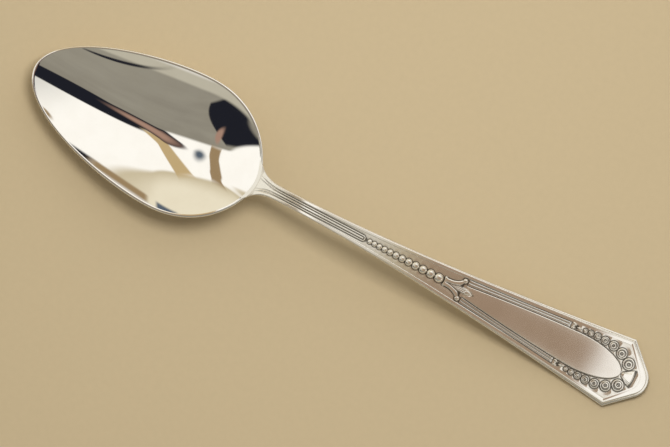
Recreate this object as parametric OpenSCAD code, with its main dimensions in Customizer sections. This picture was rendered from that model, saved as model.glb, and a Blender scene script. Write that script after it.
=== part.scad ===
// Tablespoon with a reeded neck, a row of graduated beads and a rosetted handle end.
// Millimetres. +X runs from the bowl tip to the handle end, +Y is the left side, +Z is up.
// The origin lies on the table under the middle of the spoon.
// A station is a distance along the spoon, measured from the bowl tip.
// Shares marked "of the handle" multiply the length from the bowl heel to the handle end, and shares
// marked "of the end" multiply the width across the two corners of the handle end.

/* [Overall] */
// Length from the bowl tip to the handle end
overall_len = 210; // [200:1:225]
// Depth of the small flats that the spoon rests on
rest_flat = 0.15; // [0.1:0.05:0.3]
// Room between a raised piece and the face that it sits on
seat_gap = 0.03; // [0.02:0.01:0.06]
// Room between raised pieces that lie side by side
side_gap = 0.15; // [0.1:0.05:0.3]

/* [Bowl] */
// Length of the bowl from its tip to its heel
bowl_len = 76.5; // [70:0.5:82]
// Width across the bowl
bowl_w = 43.9; // [38:0.1:48]
// Distance of the widest line from the tip
bowl_widest = 50; // [44:1:54]
// Distance of the deepest point from the tip
bowl_deepest = 43; // [36:1:48]
// Depth of the hollow below the rim
bowl_depth = 10.5; // [8:0.5:13]
// Thickness of the bottom
bowl_wall = 1.2; // [0.9:0.1:2]
// How steeply the sides rise to the rim
bowl_steepness = 2; // [1.6:0.1:3]
// Width of the flat land on the rim
rim_land = 1; // [0.6:0.1:1.6]
// Height of the upright edge of the rim
rim_edge = 1.2; // [0.8:0.1:1.8]
// Upward slope of the rim from tip to heel, in degrees
rim_tilt = 5; // [2:0.5:8]
// Roundness of the tip, the reach of its curve to each side
tip_round = 13; // [9:0.5:16]
// Reach of the widest line's curve towards the tip
tip_side_reach = 18; // [12:1:26]
// Reach of the widest line's curve towards the heel
heel_side_reach = 18; // [12:1:22]
// Roundness of the heel, the reach of its curve to each side
heel_round = 7.5; // [5:0.5:10]

/* [Stem] */
// Width of the stem where it meets the bowl
shoulder_w = 11.8; // [9:0.2:15]
// Length of the shoulder curve
shoulder_len = 12; // [8:1:18]
// Tightness of the shoulder curve
shoulder_curve = 4.5; // [3:0.5:6]
// Width of the neck
neck_w = 4.8; // [4.4:0.1:6.5]
// Thickness of the neck
neck_t = 2.8; // [2.2:0.1:4]
// Length of the stem from the bowl heel to the handle plate, a share of the handle
stem_share = 0.281; // [0.25:0.005:0.32]
// Length of the parallel neck, a share of the handle
neck_share = 0.086; // [0.06:0.002:0.12]
// Distance from the bowl heel to the top of the arch, a share of the handle
arch_share = 0.21; // [0.17:0.01:0.27]
// Height of the arch above the table
arch_h = 18.5; // [17:0.5:23]

/* [Handle] */
// Width across the two corners of the handle end
end_w = 22.8; // [20:0.2:26]
// Length from the corners to the very end, a share of the end
point_share = 0.41; // [0.35:0.005:0.48]
// Radius of the rounded end, a share of the end
point_round_share = 0.263; // [0.2:0.001:0.3]
// Distance over which the taper stays slight, a share of the handle
taper_share = 0.3; // [0.23:0.01:0.36]
// Thickness of the plate at its end
end_t = 2; // [1.6:0.1:3]
// Distance from the end to the line that rests on the table, a share of the handle
rest_share = 0.075; // [0.06:0.005:0.1]
// Lift of the very end above that line
end_lift = 0.6; // [0.2:0.1:1.2]
// Width of the plain bevel outside the border, at the neck
bevel_neck_w = 0.25; // [0.2:0.05:0.4]
// Width of the plain bevel outside the border at the end, a share of the end
bevel_end_share = 0.027; // [0.02:0.001:0.034]
// Drop of that bevel
bevel_drop = 0.45; // [0.3:0.05:0.7]
// Height of the upright edge of the plate
edge_h = 0.7; // [0.5:0.05:0.9]
// Inset of the underside from the edge
under_inset = 1; // [0.6:0.1:1.4]

/* [Border] */
// Width of the raised border at the neck
border_neck_w = 1; // [0.8:0.05:1.1]
// Width of the raised border at the corners, a share of the end
border_end_share = 0.065; // [0.05:0.0005:0.08]
// Width of the raised border at the very end, a share of the end
border_point_share = 0.1175; // [0.09:0.0005:0.125]
// Height of the raised border at the neck
border_neck_h = 0.5; // [0.3:0.05:0.8]
// Height of the raised border at the end
border_end_h = 0.85; // [0.5:0.05:1.2]

/* [Reeding] */
// Width of the grooves beside the reed
groove_w = 0.2; // [0.12:0.02:0.26]
// Width of the reed on each side of the rib
reed_w = 0.45; // [0.35:0.05:0.55]
// Height of the rib and the reed
reed_h = 0.4; // [0.25:0.05:0.6]
// Distance from the rounded end of the reed to the end of the stem
reed_end_gap = 0.6; // [0.3:0.1:1.2]

/* [Beads] */
// Number of beads
bead_count = 12; // [8:1:14]
// Length of the row, a share of the handle
bead_row_share = 0.1935; // [0.17:0.0005:0.2]
// Diameter of the last bead over the diameter of the first
bead_ratio = 1.94; // [1.6:0.02:2.2]
// Room between beads
bead_gap = 0.16; // [0.1:0.02:0.3]
// Rise of each bead's middle above the plate, as a part of its diameter
bead_rise = 0.1; // [0:0.05:0.3]

/* [Calyx] */
// Length of the middle tongue, a share of the handle
tongue_share = 0.069; // [0.055:0.001:0.08]
// Length of a petal along the handle, a share of the handle
petal_share = 0.0375; // [0.03:0.0005:0.044]
// Thickness of the collar, a share of half the handle's width there, as are the sizes below
collar_d_share = 0.222; // [0.16:0.002:0.28]
// Width of the collar
collar_w_share = 0.606; // [0.52:0.002:0.72]
// Width of the middle tongue
tongue_w_share = 0.424; // [0.32:0.002:0.44]
// Distance from the calyx axis to the root of a petal
petal_root_share = 0.242; // [0.232:0.002:0.28]
// Outward reach of a petal
petal_reach_share = 0.322; // [0.24:0.002:0.34]
// Thickness of a petal
petal_d_share = 0.182; // [0.14:0.002:0.2]
// Diameter of the ball at a petal's tip
petal_ball_share = 0.384; // [0.28:0.002:0.4]

/* [Panel] */
// Width of the panel, a share of the end
panel_w_share = 0.476; // [0.44:0.002:0.49]
// Width of the panel where it starts, a share of the handle's width there
panel_start_share = 0.331; // [0.3:0.001:0.36]
// Distance from the panel's round end to the handle end, a share of the end
panel_gap_share = 0.388; // [0.37:0.001:0.42]
// Length of the panel's round end, a share of the end
panel_round_share = 0.632; // [0.5:0.002:0.76]
// Fullness of the panel's long sides
panel_fullness = 1.35; // [1.1:0.05:1.6]
// Height of the panel's edge
panel_edge_h = 0.35; // [0.2:0.05:0.6]
// Extra height of the panel's crown
panel_crown_h = 0.35; // [0.1:0.05:0.6]

/* [Threads] */
// Height of the double thread
thread_h = 0.45; // [0.25:0.05:0.7]

/* [Rosettes] */
// Number of rosettes on each side
rosette_count = 7; // [5:1:8]
// Diameter of the largest rosette, a share of the end
rosette_big_share = 0.164; // [0.15:0.001:0.172]
// Diameter of the smallest rosette, a share of the end
rosette_small_share = 0.0614; // [0.05:0.0002:0.07]
// Room between rosettes, a share of the end
rosette_gap_share = 0.0118; // [0.008:0.0002:0.016]
// Most room between a rosette and the panel, a share of the end
rosette_side_share = 0.026; // [0.014:0.001:0.03]
// Height of the largest rosette
rosette_h = 0.9; // [0.6:0.05:1.2]

/* [Sprigs] */
// Length of a leaf, a share of the end
leaf_len_share = 0.083; // [0.065:0.001:0.095]
// Width of a leaf, a share of the way between the panel and the border
leaf_w_share = 0.33; // [0.25:0.01:0.34]
// Turn of the outer leaves, in degrees
leaf_turn = 20; // [10:5:25]

/* [Keystone] */
// Width of the keystone at the panel, a share of the end
key_narrow_share = 0.044; // [0.03:0.002:0.06]
// Width of the keystone's outer edge, a share of the end
key_wide_share = 0.235; // [0.2:0.001:0.24]
// Length of the keystone, a share of the end
key_len_share = 0.175; // [0.15:0.001:0.18]
// Height of the keystone
key_h = 0.7; // [0.4:0.05:1]
// Space kept for the keystone on each side of the axis, a share of the end
key_space_share = 0.0768; // [0.066:0.0002:0.087]

/* [Hidden] */
SIDES = ["left", "right"];
BEADS = [for (i = [1:bead_count]) i];
ROSETTES = [for (i = [1:rosette_count]) i];

// Number of points or rows that draw each curve
TIP_POINTS = 14;
SIDE_POINTS = 9;
JOINT_POINTS = 5;
BOWL_RINGS = 9;
STEM_ROWS = 24;
PLATE_ROWS = 30;
LINE_ROWS = 4;
ARC_ROWS = 6;
PANEL_ROWS = 20;
HAIRPIN_ROWS = 8;
KEY_ROWS = 6;
// How far the stem's rows crowd towards the shoulder
SHOULDER_CROWDING = 1.5;
// A length beyond the whole spoon
FAR = 400;
$fn = 48;
FINE = 360;

bright = "silver";
satin = [0.72, 0.66, 0.58];

// Lengths along the handle
handle_len = overall_len - bowl_len;
stem_len = stem_share*handle_len;
neck_len = neck_share*handle_len;
arch_from_heel = arch_share*handle_len;
taper_ease = taper_share*handle_len;
rest_from_end = rest_share*handle_len;
bead_row = bead_row_share*handle_len;
tongue_len = tongue_share*handle_len;
petal_len = petal_share*handle_len;

// Sizes at the handle end
point_len = point_share*end_w;
point_round = point_round_share*end_w;
bevel_end_w = bevel_end_share*end_w;
border_end_w = border_end_share*end_w;
border_point_w = border_point_share*end_w;
panel_w = panel_w_share*end_w;
panel_end_gap = panel_gap_share*end_w;
panel_round_len = panel_round_share*end_w;
rosette_big_d = rosette_big_share*end_w;
rosette_small_d = rosette_small_share*end_w;
rosette_gap = rosette_gap_share*end_w;
rosette_side = rosette_side_share*end_w;
leaf_len = leaf_len_share*end_w;
key_narrow_w = key_narrow_share*end_w;
key_wide_w = key_wide_share*end_w;
key_len = key_len_share*end_w;
key_space = key_space_share*end_w;

// Shared formulas
function bezier(p, t) =
    pow(1 - t, 3)*p[0] + 3*t*pow(1 - t, 2)*p[1] + 3*t*t*(1 - t)*p[2] + t*t*t*p[3];
function mix(a, b, t) = a + (b - a)*t;
function flip(p) = [p[0], -p[1]];
function reverse(list) = [for (i = [len(list) - 1:-1:0]) list[i]];
function unit(v) = v/norm(v);
function ease(t) = let (u = min(max(t, 0), 1)) u*u*(3 - 2*u);
// The argument at which a falling function reaches zero
function zero_of(f, low, high, steps = 40) =
    let (middle = (low + high)/2)
    steps == 0 ? middle
    : f(middle) > 0 ? zero_of(f, middle, high, steps - 1)
    : zero_of(f, low, middle, steps - 1);
// A smooth curve between two knots, each a station, a height and a slope
function arch(a, b, s) =
    let (span = b[0] - a[0], t = (s - a[0])/span)
    (1 + 2*t)*pow(1 - t, 2)*a[1] + t*pow(1 - t, 2)*span*a[2]
    + t*t*(3 - 2*t)*b[1] + t*t*(t - 1)*span*b[2];

// Bowl outline, the left half from tip to heel
tip_curve = [[0, 0], [0, tip_round], [bowl_widest - tip_side_reach, bowl_w/2], [bowl_widest, bowl_w/2]];
heel_curve = [[bowl_widest, bowl_w/2], [bowl_widest + heel_side_reach, bowl_w/2],
    [bowl_len, heel_round], [bowl_len, 0]];
joint_t = zero_of(function(t) bezier(heel_curve, t)[1] - shoulder_w/2, 0, 1);
joint_row = [for (i = [0:JOINT_POINTS]) bezier(heel_curve, mix(joint_t, 1, i/JOINT_POINTS))];
half_rim = concat(
    [for (i = [0:TIP_POINTS - 1]) bezier(tip_curve, i/TIP_POINTS)],
    [for (i = [0:SIDE_POINTS - 1]) bezier(heel_curve, joint_t*i/SIDE_POINTS)],
    joint_row
);
rim = concat(half_rim, [for (i = [len(half_rim) - 2:-1:1]) flip(half_rim[i])]);
bowl_middle = [bowl_deepest, 0];

// Heights of the bowl, first over the deepest point's rim and then over the table
function rim_rise(s) = (s - bowl_deepest)*tan(rim_tilt);
function dish(r) = 1 - pow(r, bowl_steepness);
ring_r = [for (i = [1:BOWL_RINGS]) sin(90*i/BOWL_RINGS)];
function inner_point(p, r) =
    let (q = mix(bowl_middle, p - rim_land*unit(p - bowl_middle), r))
    [q[0], q[1], rim_rise(q[0]) - bowl_depth*dish(r)];
function outer_point(p, r) =
    let (q = mix(bowl_middle, p, r))
    [q[0], q[1], rim_rise(q[0]) - rim_edge - (bowl_depth + bowl_wall - rim_edge)*dish(r)];
bowl_low = min([for (r = ring_r, p = half_rim) outer_point(p, r)[2]]);
function rim_z(s) = rim_rise(s) - bowl_low - rest_flat;

// Plan of the stem and the handle: half its width at a station
stem_from = joint_row[0][0];
stem_to = bowl_len + stem_len;
taper_from = bowl_len + neck_len;
corner = [overall_len - point_len, end_w/2];
function taper(s) =
    let (a = taper_ease, span = corner[0] - taper_from, t = max(s - taper_from, 0))
    pow(t/(a + sqrt(a*a + (span - 2*a)*t)), 2);
function shoulder_fade(s) = min(max(1 - (s - stem_from)/shoulder_len, 0), 1);
function shoulder_y(s) = mix(neck_w, shoulder_w, pow(shoulder_fade(s), shoulder_curve))/2;
function half_w(s) = shoulder_y(s) + (end_w - neck_w)/2*taper(s);
function along(from, to, s) = mix(from, to, taper(s));
function bevel_w(s) = along(bevel_neck_w, bevel_end_w, s);
// The border widens from the corners to the very end, slowly at first
BORDER_SPREAD = 1.5;
function point_share_at(s) = max(s - corner[0], 0)/point_len;
function border_w(s) =
    s < corner[0]
    ? along(border_neck_w, border_end_w, s)
    : mix(border_end_w, border_point_w, pow(point_share_at(s), BORDER_SPREAD));
function border_h(s) = along(border_neck_h, border_end_h, s);
function border_inner(s) = bevel_w(s) + border_w(s);

// Side view of the stem and the handle: its top face and its thickness at a station
function thickness(s) = mix(rim_edge, along(neck_t, end_t, s), ease((s - stem_from)/shoulder_len));
rest_at = overall_len - rest_from_end;
heel_knot = [bowl_len, rim_z(bowl_len), tan(rim_tilt)];
arch_knot = [bowl_len + arch_from_heel, arch_h, 0];
rest_knot = [rest_at, thickness(rest_at) - rest_flat, 0];
end_knot = [overall_len, rest_knot[1] + end_lift, 2*end_lift/rest_from_end];
function top_z(s) =
    s < heel_knot[0] ? rim_z(s)
    : s < arch_knot[0] ? arch(heel_knot, arch_knot, s)
    : s < rest_knot[0] ? arch(arch_knot, rest_knot, s)
    : arch(rest_knot, end_knot, s);
SLOPE_STEP = 0.01;
function top_slope(s) = (top_z(s + SLOPE_STEP) - top_z(s - SLOPE_STEP))/(2*SLOPE_STEP);
function side_slope(s) = (half_w(s + SLOPE_STEP) - half_w(s - SLOPE_STEP))/(2*SLOPE_STEP);
function shoulder_slope(s) = (shoulder_y(s + SLOPE_STEP) - shoulder_y(s - SLOPE_STEP))/(2*SLOPE_STEP);
function on_top(p, h) = [p[0], p[1], top_z(p[0]) + h];

// Handle outline, the left half from shoulder to end. Each entry is a point and the way inwards:
// the point plus a distance times that way lies the distance inside the edge.
// The very end is flat for END_FLAT on each side of the axis.
END_FLAT = 0.3;
end_angle = asin(END_FLAT/point_round);
point_middle = [overall_len - point_round*cos(end_angle), 0];
to_corner = corner - point_middle;
tangent_angle = atan2(to_corner[1], to_corner[0]) - acos(point_round/norm(to_corner));
function round_way(a) = [cos(a), sin(a)];
tangent_point = point_middle + point_round*round_way(tangent_angle);
side_way = unit([side_slope(corner[0]), -1]);
line_way = -round_way(tangent_angle);
mitre_way = (side_way + line_way)/(1 + side_way*line_way);
mitre_len = 2*border_inner(corner[0]);
function mitre_share(d) = max(1 - d/mitre_len, 0);
function side_entry(s) =
    let (square_way = [0, -norm([1, side_slope(s)])],
        corner_way = [0, -norm([1, side_slope(corner[0])])])
    [[s, half_w(s)], square_way + mitre_share(corner[0] - s)*(mitre_way - corner_way)];
function line_entry(t) =
    let (p = mix(corner, tangent_point, t))
    [p, line_way + mitre_share(norm(p - corner))*(mitre_way - line_way)];
function arc_entry(a) = [point_middle + point_round*round_way(a), -round_way(a)];
stem_rail = [for (i = [1:STEM_ROWS])
    side_entry(mix(stem_from, stem_to, pow(i/STEM_ROWS, SHOULDER_CROWDING)))];
plate_rail = concat(
    [for (i = [0:PLATE_ROWS]) side_entry(mix(stem_to, corner[0], i/PLATE_ROWS))],
    [for (i = [1:LINE_ROWS]) line_entry(i/LINE_ROWS)],
    [for (i = [1:ARC_ROWS]) arc_entry(mix(tangent_angle, end_angle, i/ARC_ROWS))]
);
function inside(entry, d) = entry[0] + d*entry[1];
// The part of the stem that carries ornament, clear of the bowl's rim
reeded_rail = [for (entry = stem_rail) if (entry[0][0] > bowl_len + side_gap) entry];

// A closed skin over rings of points that all have the same count, with the faces that close its ends
module skin(rings, first_faces, last_faces) {
    count = len(rings[0]);
    last = (len(rings) - 1)*count;
    sides = [for (i = [0:len(rings) - 2], j = [0:count - 1])
        let (k = (j + 1) % count)
        [i*count + j, (i + 1)*count + j, (i + 1)*count + k, i*count + k]];
    split = [for (f = sides, half = [[f[0], f[1], f[2]], [f[0], f[2], f[3]]]) half];
    points = [for (ring = rings, p = ring) [p[0] - overall_len/2, p[1], p[2]]];
    polyhedron(
        points = points,
        faces = concat(split, first_faces, [for (f = last_faces) [for (v = f) v + last]]),
        convexity = 8
    );
}

// A raised strip between two edges. Each row is [left point, right point, height], and the profile
// gives [share of the way across, share of the height] from the left foot to the right foot.
module strip(rows, profile) {
    rings = [for (row = rows) [for (u = profile)
        on_top(mix(row[0], row[1], u[0]), seat_gap + row[2]*u[1])]];
    ends = [for (i = [1:len(profile) - 2]) [0, i, i + 1]];
    skin(rings, ends, [for (f = ends) reverse(f)]);
}
ROLL = [[0, 0], [0.08, 0.5], [0.28, 0.88], [0.5, 1], [0.72, 0.88], [0.92, 0.5], [1, 0]];
DOUBLE_ROLL = [[0, 0], [0.08, 0.75], [0.24, 1], [0.4, 0.75], [0.5, 0.3],
    [0.6, 0.75], [0.76, 1], [0.92, 0.75], [1, 0]];

// Keeps what lies above the table
module above_table() {
    difference() {
        children();
        translate([-FAR, -FAR, -FAR]) cube([2*FAR, 2*FAR, FAR]);
    }
}

// Sets a piece on the plate: its own axes lie along the handle, across it and square to the top face
module seat(p) {
    translate([p[0] - overall_len/2, p[1], top_z(p[0])])
        rotate([0, -atan(top_slope(p[0])), 0])
            intersection() {
                children();
                translate([-FAR, -FAR, seat_gap]) cube([2*FAR, 2*FAR, FAR]);
            }
}

// A pointed round form that lies along its own X axis
module spindle(length, width) {
    r = (length*length + width*width)/(4*width);
    rotate([0, 90, 0])
        rotate_extrude()
            intersection() {
                translate([width/2 - r, 0]) circle(r, $fn = FINE);
                translate([0, -length/2]) square([width, length]);
            }
}

// Bowl: one dished shell with a flat land round its rim
function band(low, high, count) = [for (j = [0:count - 1])
    let (k = (j + 1) % count, a = [low + j, high + j, high + k], b = [low + j, high + k, low + k])
    each [a, b]];
module bowl() {
    count = len(rim);
    outer_from = BOWL_RINGS*count;
    edge_from = 2*outer_from;
    middle_from = edge_from + count;
    points = concat(
        [for (r = ring_r, p = rim) inner_point(p, r)],
        [for (r = ring_r, p = rim) outer_point(p, r)],
        [for (p = rim) [p[0], p[1], rim_rise(p[0])]],
        [inner_point(rim[0], 0), outer_point(rim[0], 0)]
    );
    inner = [for (i = [0:BOWL_RINGS - 2]) each band(i*count, (i + 1)*count, count)];
    outer = [for (f = inner) reverse(f) + outer_from*[1, 1, 1]];
    land = band(outer_from - count, edge_from, count);
    edge = band(edge_from, edge_from - count, count);
    fans = [for (j = [0:count - 1])
        let (k = (j + 1) % count)
        each [[middle_from, j, k], [middle_from + 1, outer_from + k, outer_from + j]]];
    lift = [-overall_len/2, 0, -bowl_low - rest_flat];
    color(bright)
        above_table()
            polyhedron(
                points = [for (p = points) p + lift],
                faces = concat(inner, outer, land, edge, fans),
                convexity = 8
            );
}

// Stem: the shoulders grow out of the bowl's heel and narrow to the neck
heel_row = concat(joint_row, [for (i = [JOINT_POINTS - 1:-1:0]) flip(joint_row[i])]);
STEM_ACROSS = len(heel_row) - 1;
function is_edge(j) = j == 0 || j == STEM_ACROSS;
function stem_point(entry, inset, j, drop) =
    let (s = entry[0][0], p = inside(entry, is_edge(j) ? 0 : inset),
        share = is_edge(j) ? j/STEM_ACROSS : (j - 1)/(STEM_ACROSS - 2),
        bow = (heel_row[j][0] - stem_from)*pow(shoulder_fade(s), 2))
    on_top([p[0] + bow, mix(p[1], -p[1], share)], -drop);
function edge_drop(t) = bevel_drop*t/neck_t;
function edge_low(t) = (bevel_drop + edge_h)*t/neck_t;
function stem_ring(entry) =
    let (s = entry[0][0], t = thickness(s))
    concat(
        [for (j = [0:STEM_ACROSS]) stem_point(entry, bevel_w(s), j, is_edge(j) ? edge_drop(t) : 0)],
        [for (j = [STEM_ACROSS:-1:0]) stem_point(entry, under_inset, j, is_edge(j) ? edge_low(t) : t)]
    );
heel_ring = concat(
    [for (j = [0:STEM_ACROSS]) on_top(heel_row[j], is_edge(j) ? -edge_drop(rim_edge) : 0)],
    [for (j = [STEM_ACROSS:-1:0]) on_top(heel_row[j], is_edge(j) ? -edge_low(rim_edge) : -rim_edge)]
);
module stem() {
    count = len(heel_ring);
    end_faces = [for (j = [0:STEM_ACROSS - 1])
        each [[j, j + 1, count - 2 - j], [j, count - 2 - j, count - 1 - j]]];
    rings = concat([heel_ring], [for (entry = stem_rail) stem_ring(entry)]);
    color(satin) skin(rings, end_faces, [for (f = end_faces) reverse(f)]);
}

// Handle plate: the tapered blank with a bevel along its edge and a pointed end
function plate_ring(entry) =
    let (s = entry[0][0], t = thickness(s), edge = entry[0],
        top = inside(entry, bevel_w(s)), under = inside(entry, under_inset))
    [
        on_top(edge, -edge_drop(t)),
        on_top(top, 0),
        on_top(flip(top), 0),
        on_top(flip(edge), -edge_drop(t)),
        on_top(flip(edge), -edge_low(t)),
        on_top(flip(under), -t),
        on_top(under, -t),
        on_top(edge, -edge_low(t))
    ];
module handle_plate() {
    butt_face = [[0, 1, 2, 3, 4, 5, 6, 7]];
    end_faces = [[3, 2, 1, 0], [7, 4, 3, 0], [7, 6, 5, 4]];
    color(satin) above_table() skin([for (entry = plate_rail) plate_ring(entry)], butt_face, end_faces);
}

// Border: one roll from shoulder to shoulder, round the pointed end
module border_moulding() {
    half = [for (entry = concat(reeded_rail, [for (i = [1:len(plate_rail) - 1]) plate_rail[i]]))
        let (s = entry[0][0])
        [inside(entry, bevel_w(s)), inside(entry, border_inner(s)), border_h(s)]];
    color(bright) strip(concat(half, [for (row = reverse(half)) [flip(row[0]), flip(row[1]), row[2]]]), ROLL);
}

// Neck reeding: a hairpin reed, and inside it a rib that widens into a tongue at the heel
reed_end = stem_to - reed_end_gap;
reed_from_edge = bevel_neck_w + border_neck_w + groove_w;
rib_from_edge = reed_from_edge + reed_w + groove_w;
function in_neck(s, d) = [s, shoulder_y(s) - d*norm([1, shoulder_slope(s)])];
reed_r = neck_w/2 - reed_from_edge;
rib_r = neck_w/2 - rib_from_edge;
bend_from = reed_end - reed_r;
bend_middle = [bend_from, 0];
straight_stations = [for (entry = reeded_rail) if (entry[0][0] < bend_from - side_gap) entry[0][0]];
RIB_END_ANGLES = [0:20:80];
SIDEWAYS = 90;
module stem_reed() {
    near_rows = [for (s = straight_stations)
        [in_neck(s, reed_from_edge), in_neck(s, reed_from_edge + reed_w), reed_h]];
    bend_rows = [for (i = [0:HAIRPIN_ROWS])
        let (way = round_way(mix(SIDEWAYS, -SIDEWAYS, i/HAIRPIN_ROWS)))
        [bend_middle + reed_r*way, bend_middle + (reed_r - reed_w)*way, reed_h]];
    far_rows = [for (row = reverse(near_rows)) [flip(row[0]), flip(row[1]), row[2]]];
    color(bright) strip(concat(near_rows, bend_rows, far_rows), ROLL);
}
module stem_rib() {
    straight_rows = [for (s = straight_stations)
        let (edge = in_neck(s, rib_from_edge))
        [edge, flip(edge), reed_h]];
    round_rows = [for (a = RIB_END_ANGLES)
        let (edge = bend_middle + rib_r*[sin(a), cos(a)])
        [edge, flip(edge), reed_h]];
    color(bright) strip(concat(straight_rows, round_rows), ROLL);
}

// Bead row: diameters grow by a steady factor
bead_growth = pow(bead_ratio, 1/(bead_count - 1));
bead_metal = bead_row - bead_count*bead_gap;
bead_first_d = bead_metal*(bead_growth - 1)/(pow(bead_growth, bead_count) - 1);
function bead_d(i) = bead_first_d*pow(bead_growth, i - 1);
function bead_at(i) =
    i == 1 ? stem_to + bead_gap + bead_first_d/2
    : bead_at(i - 1) + (bead_d(i - 1) + bead_d(i))/2 + bead_gap;
module bead(i) {
    color(bright)
        seat([bead_at(i), 0])
            translate([0, 0, bead_d(i)*bead_rise]) sphere(d = bead_d(i));
}

// Calyx: a collar after the last bead, two petals with ball tips and a pointed tongue
bead_row_to = stem_to + bead_row;
calyx_half = half_w(bead_row_to);
collar_d = collar_d_share*calyx_half;
collar_w = collar_w_share*calyx_half;
tongue_w = tongue_w_share*calyx_half;
petal_root = petal_root_share*calyx_half;
petal_reach = petal_reach_share*calyx_half;
petal_d = petal_d_share*calyx_half;
petal_ball_d = petal_ball_share*calyx_half;
collar_at = bead_row_to + bead_gap + collar_d/2;
calyx_from = collar_at + collar_d/2 + side_gap;
tongue_at = calyx_from + tongue_len/2;
petal_turn = 2*atan(petal_reach/petal_len);
petal_bend = petal_len/sin(petal_turn);
petal_tip = [calyx_from + petal_len, petal_root + petal_reach];
module calyx_collar() {
    color(bright)
        seat([collar_at, 0])
            intersection() {
                rotate([90, 0, 0]) cylinder(d = collar_d, h = 2*collar_w, center = true);
                sphere(d = collar_w);
            }
}
module calyx_tongue() {
    color(satin) seat([tongue_at, 0]) spindle(tongue_len, tongue_w);
}
module calyx_petal(side) {
    turn = side == "left" ? 0 : 1;
    color(bright)
        seat([calyx_from, 0])
            mirror([0, turn, 0])
                union() {
                    translate([0, petal_root + petal_bend, 0])
                        rotate([0, 0, -90])
                            rotate_extrude(angle = petal_turn) translate([petal_bend, 0]) circle(d = petal_d);
                    translate([petal_len, petal_root + petal_reach, 0]) sphere(d = petal_ball_d);
                }
}

// Panel: a long teardrop with a domed face, notched round the tongue
panel_from = petal_tip[0] + petal_ball_d/2;
panel_to = overall_len - panel_end_gap;
panel_widest = panel_to - panel_round_len;
panel_start_w = panel_start_share*2*half_w(panel_from);
function panel_y(s) =
    s < panel_widest
    ? mix(panel_w, panel_start_w, pow((panel_widest - s)/(panel_widest - panel_from), panel_fullness))/2
    : panel_w/2*sqrt(max(1 - pow((s - panel_widest)/panel_round_len, 2), 0));
PANEL_END_ANGLE = 86;
DOME_SHARES = [0.03, 0.15, 0.32, 0.5, 0.68, 0.85, 0.97];
panel_rows = concat(
    [for (i = [0:PANEL_ROWS - 1]) mix(panel_from, panel_widest, i/PANEL_ROWS)],
    [for (i = [0:PANEL_ROWS/2]) panel_widest + panel_round_len*sin(PANEL_END_ANGLE*2*i/PANEL_ROWS)]
);
module cartouche_panel() {
    edge = panel_edge_h/(panel_edge_h + panel_crown_h);
    dome = [for (u = DOME_SHARES) [u, mix(edge, 1, 1 - pow(2*u - 1, 2))]];
    profile = concat([[0, 0]], dome, [[1, 0]]);
    rows = [for (s = panel_rows) [[s, panel_y(s)], [s, -panel_y(s)], panel_edge_h + panel_crown_h]];
    notch_r = (tongue_len*tongue_len + tongue_w*tongue_w)/(4*tongue_w) + side_gap;
    color(satin)
        difference() {
            strip(rows, profile);
            translate([tongue_at - overall_len/2, 0, 0])
                linear_extrude(FAR)
                    intersection_for(way = [-1, 1])
                        translate([0, way*(notch_r - side_gap - tongue_w/2)]) circle(notch_r, $fn = FINE);
        }
}

// Double threads: they fill the way between the panel and the border, from the petals to the sprigs
function way_inner(s) = panel_y(s) + side_gap;
function way_outer(s) = half_w(s) - border_inner(s)*norm([1, side_slope(s)]) - side_gap;
function way_middle(s) = (way_inner(s) + way_outer(s))/2;
thread_from = panel_from + side_gap;
module thread(side) {
    turn = side == "left" ? 1 : -1;
    rows = [for (i = [0:PANEL_ROWS])
        let (s = mix(thread_from, thread_to, i/PANEL_ROWS))
        turn > 0
        ? [[s, way_outer(s)], [s, way_inner(s)], thread_h]
        : [[s, -way_inner(s)], [s, -way_outer(s)], thread_h]];
    color(bright) strip(rows, DOUBLE_ROLL);
}

// Rosettes: each follows the last one round the panel's end, the largest beside the keystone.
// Their radii fall in equal steps. A rosette beside the border lies midway between it and the panel and
// leaves rosette_gap clear of both, and one round the end keeps rosette_side clear of the panel.
// A spot is the station of the panel's edge that the rosette sits at, and its radius.
function way_room(s) = way_outer(s) - way_inner(s) + 2*side_gap;
function step_r(i) = mix(rosette_big_d, rosette_small_d, (i - 1)/(rosette_count - 1))/2;
function fitted_r(i, s) = min(step_r(i), way_room(s)/2 - rosette_gap);
function panel_room(s, r) = min(rosette_side, way_room(s)/2 - r);
function panel_slope(s) = (panel_y(s + SLOPE_STEP) - panel_y(s - SLOPE_STEP))/(2*SLOPE_STEP);
function beside_panel(s, d) = [s, panel_y(s)] + d*unit([-panel_slope(s), 1]);
function spot_middle(s, r) = beside_panel(s, r + panel_room(s, r));
function first_spot() =
    let (r = step_r(1))
    [zero_of(function(s) spot_middle(s, r)[1] - r - key_space, panel_widest, panel_to - 2*SLOPE_STEP), r];
function next_spot(i, last) =
    let (last_middle = spot_middle(last[0], last[1]),
        foot = zero_of(
            function(s)
                let (r = fitted_r(i, s))
                norm(spot_middle(s, r) - last_middle) - last[1] - r - rosette_gap,
            last[0] - 2*rosette_big_d, last[0]))
    [foot, fitted_r(i, foot)];
function rosette_spot(i) = i == 1 ? first_spot() : next_spot(i, rosette_spot(i - 1));
rosette_spots = [for (i = ROSETTES) rosette_spot(i)];
function rosette_r(i) = rosette_spots[i - 1][1];
function rosette_at(i) = spot_middle(rosette_spots[i - 1][0], rosette_r(i));
// Shares of a rosette's radius: its ring, the ring's own roll and its eye
ROSETTE_RING = 0.68;
ROSETTE_ROLL = 0.26;
ROSETTE_EYE = 0.34;
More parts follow.
